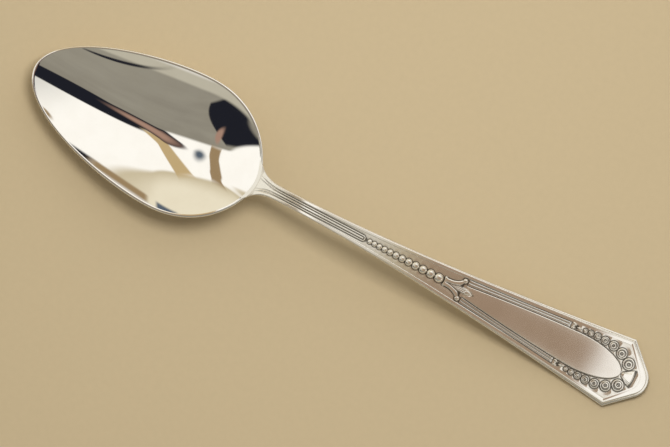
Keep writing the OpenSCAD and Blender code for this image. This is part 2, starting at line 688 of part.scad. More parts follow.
// Share of its height that a rosette of no width would keep
ROSETTE_LEAST_H = 0.6;
module rosette(side, i) {
    r = rosette_r(i);
    h = rosette_h*mix(ROSETTE_LEAST_H, 1, r/rosette_r(1));
    place = side == "left" ? rosette_at(i) : flip(rosette_at(i));
    color(bright)
        seat(place)
            union() {
                cylinder(r = r, h = h/2);
                translate([0, 0, h/2])
                    rotate_extrude() translate([ROSETTE_RING*r, 0]) circle(r = ROSETTE_ROLL*r);
                translate([0, 0, h/2]) sphere(r = ROSETTE_EYE*r);
            }
}

// Sprigs: three leaves between the end of each thread and the smallest rosette
smallest_at = rosette_at(rosette_count);
sprig_to = smallest_at[0] - rosette_r(rosette_count) - rosette_gap;
sprig_at = sprig_to - leaf_len;
thread_to = sprig_at - leaf_len - side_gap;
module sprig(side) {
    turn = side == "left" ? 1 : -1;
    y = way_middle(sprig_at);
    leaf_w = leaf_w_share*(way_outer(sprig_at) - way_inner(sprig_at));
    spread = leaf_w/2 + side_gap;
    color(bright)
        seat([sprig_at, turn*y])
            union() {
                translate([leaf_len/2, 0, 0]) spindle(leaf_len, leaf_w);
                for (way = [-1, 1])
                    translate([-leaf_len/2, way*spread, 0])
                        rotate([0, 0, -way*leaf_turn]) spindle(leaf_len, leaf_w);
            }
}

// Keystone: a fan between the two largest rosettes
key_from = panel_to + side_gap;
// How early the fan opens, and the share of its height at its narrow end
KEY_FLARE = 1.5;
KEY_LOW_END = 0.7;
module keystone() {
    rows = [for (i = [0:KEY_ROWS])
        let (t = i/KEY_ROWS, s = key_from + key_len*t,
            y = mix(key_wide_w, key_narrow_w, pow(1 - t, KEY_FLARE))/2)
        [[s, y], [s, -y], key_h*mix(KEY_LOW_END, 1, t)]];
    color(bright) strip(rows, ROLL);
}

bowl();
stem();
handle_plate();
border_moulding();
stem_rib();
stem_reed();
cartouche_panel();
calyx_collar();
calyx_tongue();
keystone();
for (side = SIDES) {
    calyx_petal(side);
    thread(side);
    sprig(side);
    for (i = ROSETTES) rosette(side, i);
}
for (i = BEADS) bead(i);
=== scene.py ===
"""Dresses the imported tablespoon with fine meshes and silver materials, and sets up its studio shot.

Stations are distances along the spoon in millimetres from the bowl tip. Y runs to the left side and Z is up
from the table, also in millimetres. Points are turned into metres only when a mesh is made.
"""
import functools
import math

import bmesh
import bpy
import numpy as np
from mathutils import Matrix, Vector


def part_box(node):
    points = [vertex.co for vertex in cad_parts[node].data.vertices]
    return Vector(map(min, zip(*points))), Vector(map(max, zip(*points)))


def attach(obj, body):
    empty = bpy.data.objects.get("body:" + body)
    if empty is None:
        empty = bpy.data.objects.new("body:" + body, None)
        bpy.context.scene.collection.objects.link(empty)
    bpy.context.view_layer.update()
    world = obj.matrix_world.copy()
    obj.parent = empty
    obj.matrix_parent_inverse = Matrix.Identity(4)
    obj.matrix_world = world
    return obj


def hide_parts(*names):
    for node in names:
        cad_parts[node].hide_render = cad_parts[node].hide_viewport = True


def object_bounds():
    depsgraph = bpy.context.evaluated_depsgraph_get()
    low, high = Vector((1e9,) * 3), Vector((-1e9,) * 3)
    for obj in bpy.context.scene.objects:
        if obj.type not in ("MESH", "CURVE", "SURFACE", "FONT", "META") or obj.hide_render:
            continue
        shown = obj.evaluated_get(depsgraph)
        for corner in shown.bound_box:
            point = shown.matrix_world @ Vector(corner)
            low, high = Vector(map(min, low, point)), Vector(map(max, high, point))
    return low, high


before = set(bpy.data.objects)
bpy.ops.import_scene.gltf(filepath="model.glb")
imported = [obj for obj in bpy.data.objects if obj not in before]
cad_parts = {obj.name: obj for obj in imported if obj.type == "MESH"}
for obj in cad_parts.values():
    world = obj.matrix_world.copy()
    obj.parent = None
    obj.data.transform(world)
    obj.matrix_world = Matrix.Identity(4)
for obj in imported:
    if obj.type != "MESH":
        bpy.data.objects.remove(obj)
cad_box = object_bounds()

MM = 0.001
TIP_X = cad_box[0][0]


@functools.cache
def extent(node):
    """The lowest and highest corner of a CAD node, as station, y and z in millimetres."""
    low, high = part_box(node)
    shift = np.array([TIP_X, 0.0, 0.0])
    return (np.array(low) - shift) / MM, (np.array(high) - shift) / MM


def middle_and_size(node):
    low, high = extent(node)
    return (low + high) / 2, high - low


def numbered(start):
    """The names of nodes that start alike, by their numbers."""
    count = sum(1 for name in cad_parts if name.startswith(start))
    return [f"{start}{i + 1}" for i in range(count)]


# Driving sizes. Those that a box of the frame shows come from the frame.
overall_len = (cad_box[1][0] - TIP_X) / MM
rest_flat = 0.15
seat_gap = 0.03
side_gap = 0.15

bowl_len = extent("bowl")[1][0]
bowl_w = middle_and_size("bowl")[1][1]
bowl_widest = 50.0
bowl_deepest = 43.0
bowl_depth = 10.5
bowl_wall = 1.2
bowl_steepness = 2.0
rim_land = 1.0
rim_edge = 1.2
rim_slope = math.tan(math.radians(5.0))
tip_round = 13.0
tip_side_reach = 18.0
heel_side_reach = 18.0
heel_round = 7.5

shoulder_w = middle_and_size("stem")[1][1]
shoulder_len = 12.0
shoulder_curve = 4.5
neck_w = 4.8
neck_t = 2.8
arch_h = 18.5
end_t = 2.0
end_lift = 0.6
bevel_neck_w = 0.25
bevel_drop = 0.45
edge_h = 0.7
border_neck_w = 1.0
groove_w = 0.2
reed_w = 0.45
reed_end_gap = 0.6
bead_rise = 0.1
panel_fullness = 1.35
leaf_turn = math.radians(20.0)
SLOPE_STEP = 0.01
LEAST_W = 0.01
# The sign of Y on each side
SIDES = {"left": 1.0, "right": -1.0}

# Shares of the handle's length
handle_len = overall_len - bowl_len
stem_to = extent("stem")[1][0]
NECK_SHARE = 0.086
ARCH_SHARE = 0.21
TAPER_SHARE = 0.3
REST_SHARE = 0.075
neck_len = NECK_SHARE * handle_len
arch_from_heel = ARCH_SHARE * handle_len
taper_ease = TAPER_SHARE * handle_len
rest_from_end = REST_SHARE * handle_len

# Shares of the width across the two corners of the end
end_w = middle_and_size("handle_plate")[1][1]
POINT_SHARE = 0.41
POINT_ROUND_SHARE = 0.263
BEVEL_SHARE = 0.027
BORDER_SHARE = 0.065
BORDER_POINT_SHARE = 0.1175
BORDER_SPREAD = 1.5
PANEL_GAP_SHARE = 0.388
PANEL_ROUND_SHARE = 0.632
PANEL_START_SHARE = 0.331
point_len = POINT_SHARE * end_w
point_round = POINT_ROUND_SHARE * end_w
bevel_end_w = BEVEL_SHARE * end_w
border_end_w = BORDER_SHARE * end_w
border_point_w = BORDER_POINT_SHARE * end_w


# Formulas that the CAD source shares
def mix(a, b, t):
    return a + (b - a) * t


def ease(t):
    u = np.clip(t, 0.0, 1.0)
    return u * u * (3.0 - 2.0 * u)


def bezier(p, t):
    t = np.asarray(t, float)[:, None]
    p = np.array(p, float)
    u = 1.0 - t
    return u**3 * p[0] + 3 * t * u**2 * p[1] + 3 * t**2 * u * p[2] + t**3 * p[3]


def arch(a, b, s):
    """A smooth curve between two knots, each a station, a height and a slope."""
    span = b[0] - a[0]
    t = (s - a[0]) / span
    return (
        (1 + 2 * t) * (1 - t) ** 2 * a[1]
        + t * (1 - t) ** 2 * span * a[2]
        + t * t * (3 - 2 * t) * b[1]
        + t * t * (t - 1) * span * b[2]
    )


def slope_of(curve, s):
    return (curve(s + SLOPE_STEP) - curve(s - SLOPE_STEP)) / (2 * SLOPE_STEP)


# Bowl outline and heights
tip_curve = [(0, 0), (0, tip_round), (bowl_widest - tip_side_reach, bowl_w / 2), (bowl_widest, bowl_w / 2)]
heel_curve = [
    (bowl_widest, bowl_w / 2),
    (bowl_widest + heel_side_reach, bowl_w / 2),
    (bowl_len, heel_round),
    (bowl_len, 0),
]
FINE_STEPS = np.linspace(0.0, 1.0, 400)
heel_line = bezier(heel_curve, FINE_STEPS)
joint_t = np.interp(shoulder_w / 2, heel_line[::-1, 1], FINE_STEPS[::-1])
stem_from = bezier(heel_curve, [joint_t])[0, 0]


def heel_station(y):
    """The station of the heel's edge at a distance from the axis."""
    return np.interp(np.abs(y), heel_line[::-1, 1], heel_line[::-1, 0])


def rim_rise(s):
    return (s - bowl_deepest) * rim_slope


def dish(r):
    return 1.0 - r**bowl_steepness


def outer_drop(r):
    return rim_edge + (bowl_depth + bowl_wall - rim_edge) * dish(r)


TIP_POINTS = 84
SIDE_POINTS = 56
JOINT_POINTS = 16
half_rim = np.vstack([
    bezier(tip_curve, np.linspace(0, 1, TIP_POINTS, endpoint=False)),
    bezier(heel_curve, np.linspace(0, joint_t, SIDE_POINTS, endpoint=False)),
    bezier(heel_curve, np.linspace(joint_t, 1, JOINT_POINTS)),
])
rim = np.vstack([half_rim, half_rim[-2:0:-1] * [1, -1]])
bowl_middle = np.array([bowl_deepest, 0.0])
# The rim's height over the table, from the top of the heel
rim_base = extent("bowl")[1][2] - rim_rise(bowl_len)


def rim_z(s):
    return rim_rise(s) + rim_base


# Plan of the stem and the handle
taper_from = bowl_len + neck_len
corner = np.array([overall_len - point_len, end_w / 2])


def taper(s):
    span = corner[0] - taper_from
    t = np.maximum(s - taper_from, 0.0)
    return (t / (taper_ease + np.sqrt(taper_ease**2 + (span - 2 * taper_ease) * t))) ** 2


def shoulder_fade(s):
    return np.clip(1 - (s - stem_from) / shoulder_len, 0.0, 1.0)


def shoulder_y(s):
    return mix(neck_w, shoulder_w, shoulder_fade(s) ** shoulder_curve) / 2


def half_w(s):
    return shoulder_y(s) + (end_w - neck_w) / 2 * taper(s)


def bevel_w(s):
    return mix(bevel_neck_w, bevel_end_w, taper(s))


def border_w(s):
    widening = np.clip((s - corner[0]) / point_len, 0.0, 1.0) ** BORDER_SPREAD
    side = mix(border_neck_w, border_end_w, np.minimum(taper(s), 1.0))
    return side + (border_point_w - border_end_w) * widening


def border_inner(s):
    return bevel_w(s) + border_w(s)


# Side view of the stem and the handle
def thickness(s):
    return mix(rim_edge, mix(neck_t, end_t, taper(s)), ease((s - stem_from) / shoulder_len))


rest_at = overall_len - rest_from_end
heel_knot = (bowl_len, rim_z(bowl_len), rim_slope)
arch_knot = (bowl_len + arch_from_heel, arch_h, 0.0)
rest_knot = (rest_at, thickness(rest_at) - rest_flat, 0.0)
end_knot = (overall_len, rest_knot[1] + end_lift, 2 * end_lift / rest_from_end)


def top_z(s):
    s = np.asarray(s, float)
    rising = np.where(s < heel_knot[0], rim_z(s), arch(heel_knot, arch_knot, s))
    falling = np.where(s < rest_knot[0], arch(arch_knot, rest_knot, s), arch(rest_knot, end_knot, s))
    return np.where(s < arch_knot[0], rising, falling)


# Handle outline from shoulder to end: edge points, and the way inwards from each.
# A point plus a distance times its way lies that distance inside the edge.
END_FLAT = 0.3
end_angle = math.asin(END_FLAT / point_round)
point_middle = np.array([overall_len - point_round * math.cos(end_angle), 0.0])
to_corner = corner - point_middle
tangent_angle = math.atan2(to_corner[1], to_corner[0]) - math.acos(point_round / np.linalg.norm(to_corner))


def round_way(angle):
    return np.stack([np.cos(angle), np.sin(angle)], -1)


tangent_point = point_middle + point_round * round_way(tangent_angle)
corner_slope = slope_of(half_w, corner[0])
side_way = np.array([corner_slope, -1.0]) / math.hypot(1.0, corner_slope)
line_way = -round_way(tangent_angle)
mitre_way = (side_way + line_way) / (1 + side_way @ line_way)
corner_square = np.array([0.0, -math.hypot(1.0, corner_slope)])
mitre_len = 2 * border_inner(corner[0])


def side_rail(stations):
    square = np.stack([np.zeros_like(stations), -np.hypot(1.0, slope_of(half_w, stations))], -1)
    share = np.clip(1 - (corner[0] - stations) / mitre_len, 0.0, 1.0)[:, None]
    return np.stack([stations, half_w(stations)], -1), square + share * (mitre_way - corner_square)


def end_rail(line_rows, arc_rows):
    t = np.linspace(0, 1, line_rows + 1)[1:, None]
    line = mix(corner, tangent_point, t)
    away = np.linalg.norm(line - corner, axis=1)
    share = np.clip(1 - away / mitre_len, 0.0, 1.0)[:, None]
    line_ways = line_way + share * (mitre_way - line_way)
    angles = np.linspace(tangent_angle, end_angle, arc_rows + 1)[1:]
    arc = point_middle + point_round * round_way(angles)
    return np.vstack([line, arc]), np.vstack([line_ways, -round_way(angles)])


SIDE_ROWS = 190
FINE_ROWS = 110
FINE_FROM = 180.0
LINE_ROWS = 64
ARC_ROWS = 40
coarse_stations = np.linspace(stem_to, FINE_FROM, SIDE_ROWS, endpoint=False)
plate_stations = np.concatenate([coarse_stations, np.linspace(FINE_FROM, corner[0], FINE_ROWS)])


def whole_rail(stations):
    """The side through given stations, and the end."""
    return [np.vstack(pair) for pair in zip(side_rail(stations), end_rail(LINE_ROWS, ARC_ROWS))]


plate_rail = whole_rail(plate_stations)
STEM_ROWS = 90
STEM_CROWDING = 1.4
stem_stations = mix(stem_from, stem_to, np.linspace(0, 1, STEM_ROWS) ** STEM_CROWDING)
stem_rail = side_rail(stem_stations)
reeded = stem_stations > bowl_len + side_gap
reeded_stations = stem_stations[reeded]


# Mesh making. A shape is a list of points, a list of faces and a hollow share for each point, which is 1 in
# the deepest recesses and 0 where polish reaches. It darkens the silver both as oxide and as painted shade.
def faces_of_grid(rows, cols, first=0):
    """Quads over rows of points, each row a closed ring."""
    faces = []
    for i in range(rows - 1):
        for j in range(cols):
            k = (j + 1) % cols
            a = first + i * cols
            faces.append((a + j, a + k, a + cols + k, a + cols + j))
    return faces


def paired_cap(count, first, pairs=None):
    """Faces over one end of a skin, each between two neighbours on a ring and the two facing them.

    After a given number of pairs, one face takes in the rest of the ring.
    """
    faces = []
    for j in range((count - 1) // 2 if pairs is None else pairs):
        near, far = j, count - 1 - j
        faces.append(tuple(first + v for v in dict.fromkeys((near, near + 1, far - 1, far))))
    if pairs is not None:
        faces.append(tuple(range(first + pairs, first + count - pairs)))
    return faces


def skin(rings, hollow, heart=None, pairs=None):
    """A closed body over rings of points. A heart is a point inside it that the first ring runs in to."""
    rows, cols = rings.shape[:2]
    points = rings.reshape(-1, 3)
    hollow = np.broadcast_to(hollow, (rows, cols)).reshape(-1)
    faces = faces_of_grid(rows, cols) + paired_cap(cols, (rows - 1) * cols, pairs)
    if heart is None:
        return points, faces + paired_cap(cols, 0, pairs), hollow
    faces += [(rows * cols, j, (j + 1) % cols) for j in range(cols)]
    return np.vstack([points, heart]), faces, np.append(hollow, 0.0)


def on_top(plan, height):
    """Lifts plan points to a height above the handle's top face."""
    z = top_z(plan[..., 0]) + height
    return np.concatenate([plan, z[..., None]], -1)


def strip(left, right, heights, profile):
    """A raised strip between two edges. The profile gives shares of the width and of the height."""
    share, rise, hollow = profile
    plan = left[:, None, :] + (right - left)[:, None, :] * share[None, :, None]
    return skin(on_top(plan, seat_gap + heights[:, None] * rise), hollow)


def ridge(path, half, heights, profile):
    """A strip along a path of plan points, with a half width and a height at each."""
    along = np.gradient(path, axis=0)
    along /= np.linalg.norm(along, axis=1)[:, None]
    across = np.stack([-along[:, 1], along[:, 0]], -1) * half[:, None]
    return strip(path + across, path - across, heights, profile)


FOOT_FROM = 0.94


def foot_shade(share, angle):
    """The hollow share of a plain boss: dark only round its foot."""
    return ease((share - FOOT_FROM) / (1 - FOOT_FROM))


def dome(middle, outline, height, rings, shade=foot_shade):
    """A boss over a plan outline round a middle point: height gives each ring's rise above its seat."""
    count = len(outline)
    shares = np.sin(np.linspace(0, math.pi / 2, rings + 1))[1:]
    angles = np.linspace(0, 2 * math.pi, count, endpoint=False)
    share_grid, angle_grid = np.meshgrid(shares, angles, indexing="ij")
    plan = middle + shares[:, None, None] * outline[None, :, :]
    body = on_top(plan, seat_gap + height(share_grid, angle_grid)).reshape(-1, 3)
    foot = on_top(middle + outline, seat_gap * np.ones(count))
    nowhere = np.zeros((1, 1))
    peak = on_top(np.array([middle]), seat_gap + height(nowhere, nowhere)[0])
    points = np.vstack([peak, body, foot])
    body_hollow = shade(share_grid, angle_grid).reshape(-1)
    hollow = np.concatenate([shade(nowhere, nowhere)[0], body_hollow, np.ones(count)])
    faces = [(0, 1 + j, 1 + (j + 1) % count) for j in range(count)]
    faces += faces_of_grid(rings + 1, count, first=1)
    faces.append(tuple(1 + rings * count + j for j in range(count)))
    return points, faces, hollow


def join(parts):
    """Several bodies as one shape."""
    faces = []
    start = 0
    for points, body_faces, _ in parts:
        faces += [tuple(v + start for v in face) for face in body_faces]
        start += len(points)
    return np.vstack([part[0] for part in parts]), faces, np.concatenate([part[2] for part in parts])


CREASE = math.radians(38.0)
SAME_PLACE = 1e-7


def add_object(name, data):
    made = bpy.data.objects.new(name, data)
    bpy.context.scene.collection.objects.link(made)
    return made


def add_piece(node, shape, slot="bright_ornament"):
    """Makes a piece that stands for a CAD node, with the material of a given slot, and hides the node."""
    points, faces, hollow = shape
    mesh = bpy.data.meshes.new(node + "_fine")
    mesh.from_pydata([(TIP_X + p[0] * MM, p[1] * MM, p[2] * MM) for p in points], [], faces)
    mesh.attributes.new("hollow", "FLOAT", "POINT").data.foreach_set("value", np.asarray(hollow, np.float32))
    work = bmesh.new()
    work.from_mesh(mesh)
    bmesh.ops.remove_doubles(work, verts=work.verts, dist=SAME_PLACE)
    bmesh.ops.recalc_face_normals(work, faces=work.faces)
    work.to_mesh(mesh)
    work.free()
    mesh.shade_smooth()
    mesh.set_sharp_from_angle(angle=CREASE)
    mesh.materials.append(materials[slot])
    piece = add_object(node + "_fine", mesh)
    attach(piece, "root")
    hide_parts(node)


# Profiles: shares of the width, shares of the height, and hollow shares
HOLLOW_FALL = 1.8
FLUTE_SHADE = 2.2


def arc_rise(u, power=2.0):
    """The height of a rounded form at a distance u from its middle, where 1 is its edge."""
    return np.sqrt(np.maximum(1.0 - np.abs(u) ** power, 0.0))


def foot_hollow(rise):
    """How dark a form is at its foot with oxide and painted shade: full at the foot, and none from a little
    over half its height on.
    """
    return np.clip(1.0 - HOLLOW_FALL * rise, 0.0, 1.0)


def roll_profile(count, power=2.0):
    share = (1 - np.cos(np.linspace(0, math.pi, count))) / 2
    rise = arc_rise(2 * share - 1, power)
    return share, rise, foot_hollow(rise)


def double_profile(count, valley):
    share, rise, _ = roll_profile(count)
    half = np.where(share > 0.5, np.maximum(rise, valley), rise)
    rises = np.concatenate([half, half[::-1][1:]])
    return np.concatenate([share / 2, 0.5 + share[1:] / 2]), rises, foot_hollow(rises)


def fluted_profile(count, flutes, depth):
    share, rise, hollow = roll_profile(count)
    wave = np.abs(np.cos(math.pi * flutes * (share - 0.5)))
    return share, rise * (1 - depth + depth * wave), np.maximum(hollow, 1 - FLUTE_SHADE * wave)


ROLL = roll_profile(count=17)
FLAT_ROLL = roll_profile(count=21, power=3.5)
DOUBLE_ROLL = double_profile(count=13, valley=0.1)


# Node graph helpers
def add_node(tree, kind, inputs=(), **settings):
    node = tree.nodes.new(kind)
    for name, value in settings.items():
        setattr(node, name, value)
    for key, value in dict(inputs).items():
        if isinstance(value, bpy.types.NodeSocket):
            tree.links.new(value, node.inputs[key])
        else:
            node.inputs[key].default_value = value
    return node


def math_node(tree, operation, a, b=0.0):
    return add_node(tree, "ShaderNodeMath", {0: a, 1: b}, operation=operation).outputs[0]


def smooth_range(tree, value, low, high):
    inputs = {"Value": value, "From Min": low, "From Max": high}
    return add_node(tree, "ShaderNodeMapRange", inputs, interpolation_type="SMOOTHSTEP").outputs[0]


def blend_colour(tree, factor, first, second):
    node = add_node(tree, "ShaderNodeMix", {"Factor": factor}, data_type="RGBA")
    for socket, value in ((node.inputs[6], first), (node.inputs[7], second)):
        if isinstance(value, bpy.types.NodeSocket):
            tree.links.new(value, socket)
        else:
            socket.default_value = (*value, 1.0)
    return node.outputs[2]


def noise(tree, place, scale, detail=4.0, stretch=(1.0, 1.0, 1.0)):
    spot = add_node(tree, "ShaderNodeMapping", {"Vector": place, "Scale": stretch}).outputs[0]
    return add_node(tree, "ShaderNodeTexNoise", {"Vector": spot, "Scale": scale, "Detail": detail}).outputs[0]


# The colour of oxide, which also paints shade into hollows and round raised forms
OXIDE_AND_SHADE = (0.05, 0.042, 0.03)
OXIDE_ROUGHNESS = 0.25
PATCH_SCALE = 160.0
PATCH_RANGE = (0.35, 0.75)
GRAIN_DETAIL = 2.0
BLOTCH_SCALE = 700.0
BLOTCH_RANGE = (-0.4, 0.5)
OXIDE_AND_SHADE_RANGE = (0.1, 0.95)
LEAST_ROUGH = 0.8
MOST_ROUGH = 1.25


def silver(name, colour, dull, rough, grain, bump, oxide_and_shade, stretch=(1.0, 1.0, 1.0)):
    """Silver that dulls in patches, with a fine grain, and dark oxide with painted shade in its hollows."""
    made = bpy.data.materials.new(name)
    made.use_nodes = True
    tree = made.node_tree
    shader = tree.nodes["Principled BSDF"]
    shader.inputs["Metallic"].default_value = 1.0
    place = add_node(tree, "ShaderNodeTexCoord").outputs["Object"]
    patches = smooth_range(tree, noise(tree, place, PATCH_SCALE), *PATCH_RANGE)
    fine = noise(tree, place, grain, GRAIN_DETAIL, stretch)
    # The hollow share darkens the colour: part real oxide, part painted shade round raised forms
    hollow = add_node(tree, "ShaderNodeAttribute", attribute_name="hollow").outputs["Fac"]
    blotches = smooth_range(tree, noise(tree, place, BLOTCH_SCALE), *BLOTCH_RANGE)
    uneven = math_node(tree, "MULTIPLY", hollow, blotches)
    oxide_and_shade_mask = math_node(tree, "MULTIPLY", smooth_range(tree, uneven, *OXIDE_AND_SHADE_RANGE), oxide_and_shade)
    tone = blend_colour(tree, patches, colour, dull)
    tree.links.new(blend_colour(tree, oxide_and_shade_mask, tone, OXIDE_AND_SHADE), shader.inputs["Base Color"])
    spread = {"Value": fine, "To Min": rough * LEAST_ROUGH, "To Max": rough * MOST_ROUGH}
    polish = add_node(tree, "ShaderNodeMapRange", spread).outputs[0]
    dulled = math_node(tree, "MULTIPLY", oxide_and_shade_mask, OXIDE_ROUGHNESS)
    tree.links.new(math_node(tree, "ADD", polish, dulled), shader.inputs["Roughness"])
    relief = add_node(tree, "ShaderNodeBump", {"Height": fine, "Strength": 1.0, "Distance": bump})
    tree.links.new(relief.outputs[0], shader.inputs["Normal"])
    return made


materials = {
    "polished_bowl": silver(
        "polished_silver", colour=(0.94, 0.92, 0.88), dull=(0.92, 0.895, 0.85), rough=0.035,
        grain=900.0, bump=4e-8, oxide_and_shade=0.0,
    ),
    "satin_handle": silver(
        "satin_silver", colour=(0.88, 0.85, 0.79), dull=(0.83, 0.79, 0.72), rough=0.24,
        grain=2500.0, bump=6e-7, oxide_and_shade=0.85,
    ),
    "brushed_panel": silver(
        "brushed_silver", colour=(0.9, 0.86, 0.81), dull=(0.86, 0.81, 0.75), rough=0.22,
        grain=5000.0, bump=6e-7, oxide_and_shade=0.6, stretch=(0.03, 1.0, 1.0),
    ),
    "bright_ornament": silver(
        "bright_silver", colour=(0.95, 0.925, 0.88), dull=(0.91, 0.88, 0.82), rough=0.11,
        grain=2500.0, bump=4e-7, oxide_and_shade=0.75,
    ),
}


# Bowl: a dished shell, with a rim that is rounded except where the stem grows out of it.
# The rim's rings are insets from its edge and drops below its crest, over the land and under the edge.
RIM_TOP = (
    (0.99, 0.1), (0.85, 0.045), (0.7, 0.012), (0.55, 0.0), (0.42, 0.02),
    (0.3, 0.06), (0.18, 0.13), (0.08, 0.24), (0.0, 0.42),
)
RIM_UNDER = ((0.0, 0.8), (0.04, 0.98), (0.14, 1.12))
RIM_INNER_DROP = 0.1
RIM_INNER_POWER = 6
JOINT_MARGIN = 2.0
JOINT_BLEND = 0.5
BOWL_RINGS = 60


def bowl_shape():
    count = len(rim)
    outward = rim - bowl_middle
    reach = np.linalg.norm(outward, axis=1)[:, None]
    unit_out = outward / reach
    beyond_joint = np.abs(rim[:, 1]) - shoulder_w / 2
    joined = (rim[:, 0] > bowl_widest) & (beyond_joint < JOINT_MARGIN)
    free = np.where(joined, ease((beyond_joint + JOINT_BLEND) / JOINT_MARGIN), 1.0)
    shares = np.sin(np.linspace(0, math.pi / 2, BOWL_RINGS))[1:]
    rings = []

    def add_ring(plan, drop):
        rings.append(np.column_stack([plan, rim_rise(plan[:, 0]) - drop]))

    for r in shares:
        drop = bowl_depth * dish(r) + RIM_INNER_DROP * free * r**RIM_INNER_POWER
        add_ring(bowl_middle + r * (outward - rim_land * unit_out), drop)
    for inset, drop in RIM_TOP:
        add_ring(rim - inset * unit_out, drop * free)
    for inset, drop in RIM_UNDER:
        add_ring(rim - inset * free[:, None] * unit_out, drop)
    for r in shares[::-1][1:]:
        add_ring(bowl_middle + r * outward, outer_drop(r))
    middles = [(bowl_deepest, 0.0, -depth) for depth in (bowl_depth, bowl_depth + bowl_wall)]
    points = np.vstack([*rings, middles])
    points[:, 2] = np.maximum(points[:, 2] + rim_base, 0.0)
    rows = len(rings)
    faces = faces_of_grid(rows, count)
    last = (rows - 1) * count
    top_middle = rows * count
    faces += [(top_middle, j, (j + 1) % count) for j in range(count)]
    faces += [(top_middle + 1, last + (j + 1) % count, last + j) for j in range(count)]
    return points, faces, np.zeros(len(points))


# Raised forms on the field between the borders, which the field dips to: round bosses, and bands that run
# along the axis between two stations with half their width at a station
bead_nodes = numbered("bead_")
reed_from_edge = bevel_neck_w + border_neck_w + groove_w
rib_from_edge = reed_from_edge + reed_w + groove_w
reed_r = neck_w / 2 - reed_from_edge
rib_r = neck_w / 2 - rib_from_edge
bend_from = stem_to - reed_end_gap - reed_r
bend_middle = np.array([bend_from, 0.0])
panel_low, panel_high = extent("cartouche_panel")
panel_from = panel_low[0]
panel_to = overall_len - PANEL_GAP_SHARE * end_w
panel_round_len = PANEL_ROUND_SHARE * end_w
panel_widest = panel_to - panel_round_len
panel_w = (panel_high - panel_low)[1]
panel_start_w = PANEL_START_SHARE * 2 * half_w(panel_from)
tongue_low, tongue_high = extent("calyx_tongue")
tongue_w = (tongue_high - tongue_low)[1]
collar_middle, collar_size = middle_and_size("calyx_collar")
petal_low, petal_high = extent("calyx_petal_left")
PETAL_BALL_R = 0.82
petal_tip = np.array([petal_high[0] - PETAL_BALL_R, petal_high[1] - PETAL_BALL_R])
PETAL_ROOT_Y = 0.85
PETAL_CURL = 2.4
PETAL_HALF_W = 0.5
PETAL_SEAM = 0.05
PETAL_START = 0.3
key_low, key_high = extent("keystone")
KEY_NARROW_HALF = 0.5
KEY_FLARE = 1.5
thread_to = extent("thread_left")[1][0]
LEAF_W = 0.9


def in_neck(s, d):
    return np.stack([s, shoulder_y(s) - d * np.hypot(1.0, slope_of(shoulder_y, s))], -1)


def panel_y(s):
    s = np.asarray(s, float)
    back = np.clip((panel_widest - s) / (panel_widest - panel_from), 0.0, None)
    ahead = np.clip((s - panel_widest) / panel_round_len, 0.0, 1.0)
    long_side = mix(panel_w, panel_start_w, back**panel_fullness) / 2
    return np.where(s < panel_widest, long_side, panel_w / 2 * np.sqrt(1 - ahead**2))


def way_inner(s):
    return panel_y(s) + side_gap


def way_outer(s):
    return half_w(s) - border_inner(s) * np.hypot(1.0, slope_of(half_w, s)) - side_gap


def petal_y(s):
    t = np.clip((s - petal_low[0]) / (petal_tip[0] - petal_low[0]), 0.0, 1.0)
    return mix(PETAL_ROOT_Y, petal_tip[1], t**PETAL_CURL)


def key_half(s):
    t = np.clip((s - key_low[0]) / (key_high[0] - key_low[0]), 0.0, 1.0)
    return mix((key_high - key_low)[1] / 2, KEY_NARROW_HALF, (1 - t) ** KEY_FLARE)


bosses = []
for name in bead_nodes + numbered("rosette_left_"):
    boss_middle, boss_size = middle_and_size(name)
    bosses.append((boss_middle[:2], boss_size[1] / 2))
bosses.append((petal_tip, PETAL_BALL_R))
bosses.append((bend_middle, reed_r))
bosses.append((middle_and_size("sprig_left")[0][:2], LEAF_W / 2))
bands = [
    (bowl_len, bend_from, lambda s: in_neck(s, reed_from_edge)[..., 1]),
    (collar_middle[0] - collar_size[0] / 2, petal_tip[0], lambda s: petal_y(s) + PETAL_HALF_W),
    (panel_from, thread_to, way_outer),
    (panel_from, panel_to, panel_y),
    (key_low[0], key_high[0], key_half),
]


def clearance(s, y, before_bands=True):
    """Distance in plan from points of the field to the nearest raised form.

    Without before_bands, a band counts only from its start on.
    """
    y = np.abs(y)
    gaps = [np.hypot(s - place[0], y - place[1]) - r for place, r in bosses]
    for low, high, half in bands:
        inside = np.clip(s, low, high)
        gap = np.hypot(s - inside, np.maximum(y - half(inside), 0.0))
        gaps.append(gap if before_bands else np.where(s < low, overall_len, gap))
    return np.maximum(np.min(gaps, axis=0), 0.0)


# Stem and plate: one cross-section along two rails
BEVEL_SHARES = np.array([0.0, 0.12, 0.35, 0.65, 1.0])
BEVEL_DROPS = np.array([1.0, 0.72, 0.36, 0.1, 0.0])
BELLY_INSETS = np.array([0.0, 0.1, 0.35, 0.75, 1.2])
BELLY_DROPS = np.array([0.0, 0.16, 0.46, 0.8, 0.98])
FIELD_SHARES = np.linspace(1.0, -1.0, 121)
BORDER_NECK_RISE = 0.32
BORDER_END_RISE = 0.46
HEEL_FADE = 4.5
LOWEST_RISE = 0.02
# The field rises from the forms on it to the foot of the border, over a share of its half width at most,
# and close to the forms it is darkened with oxide and with painted shade
COVE_LIP = 0.62
COVE_SPREAD = 0.5
COVE_REACH = 1.4
RECESS_REACH = 0.6


def heel_growth(s):
    """Mouldings run out towards the bowl."""
    return mix(LOWEST_RISE, 1.0, ease((s - bowl_len) / HEEL_FADE))


def border_rise(s):
    return heel_growth(s) * mix(BORDER_NECK_RISE, BORDER_END_RISE, np.minimum(taper(s), 1.0))


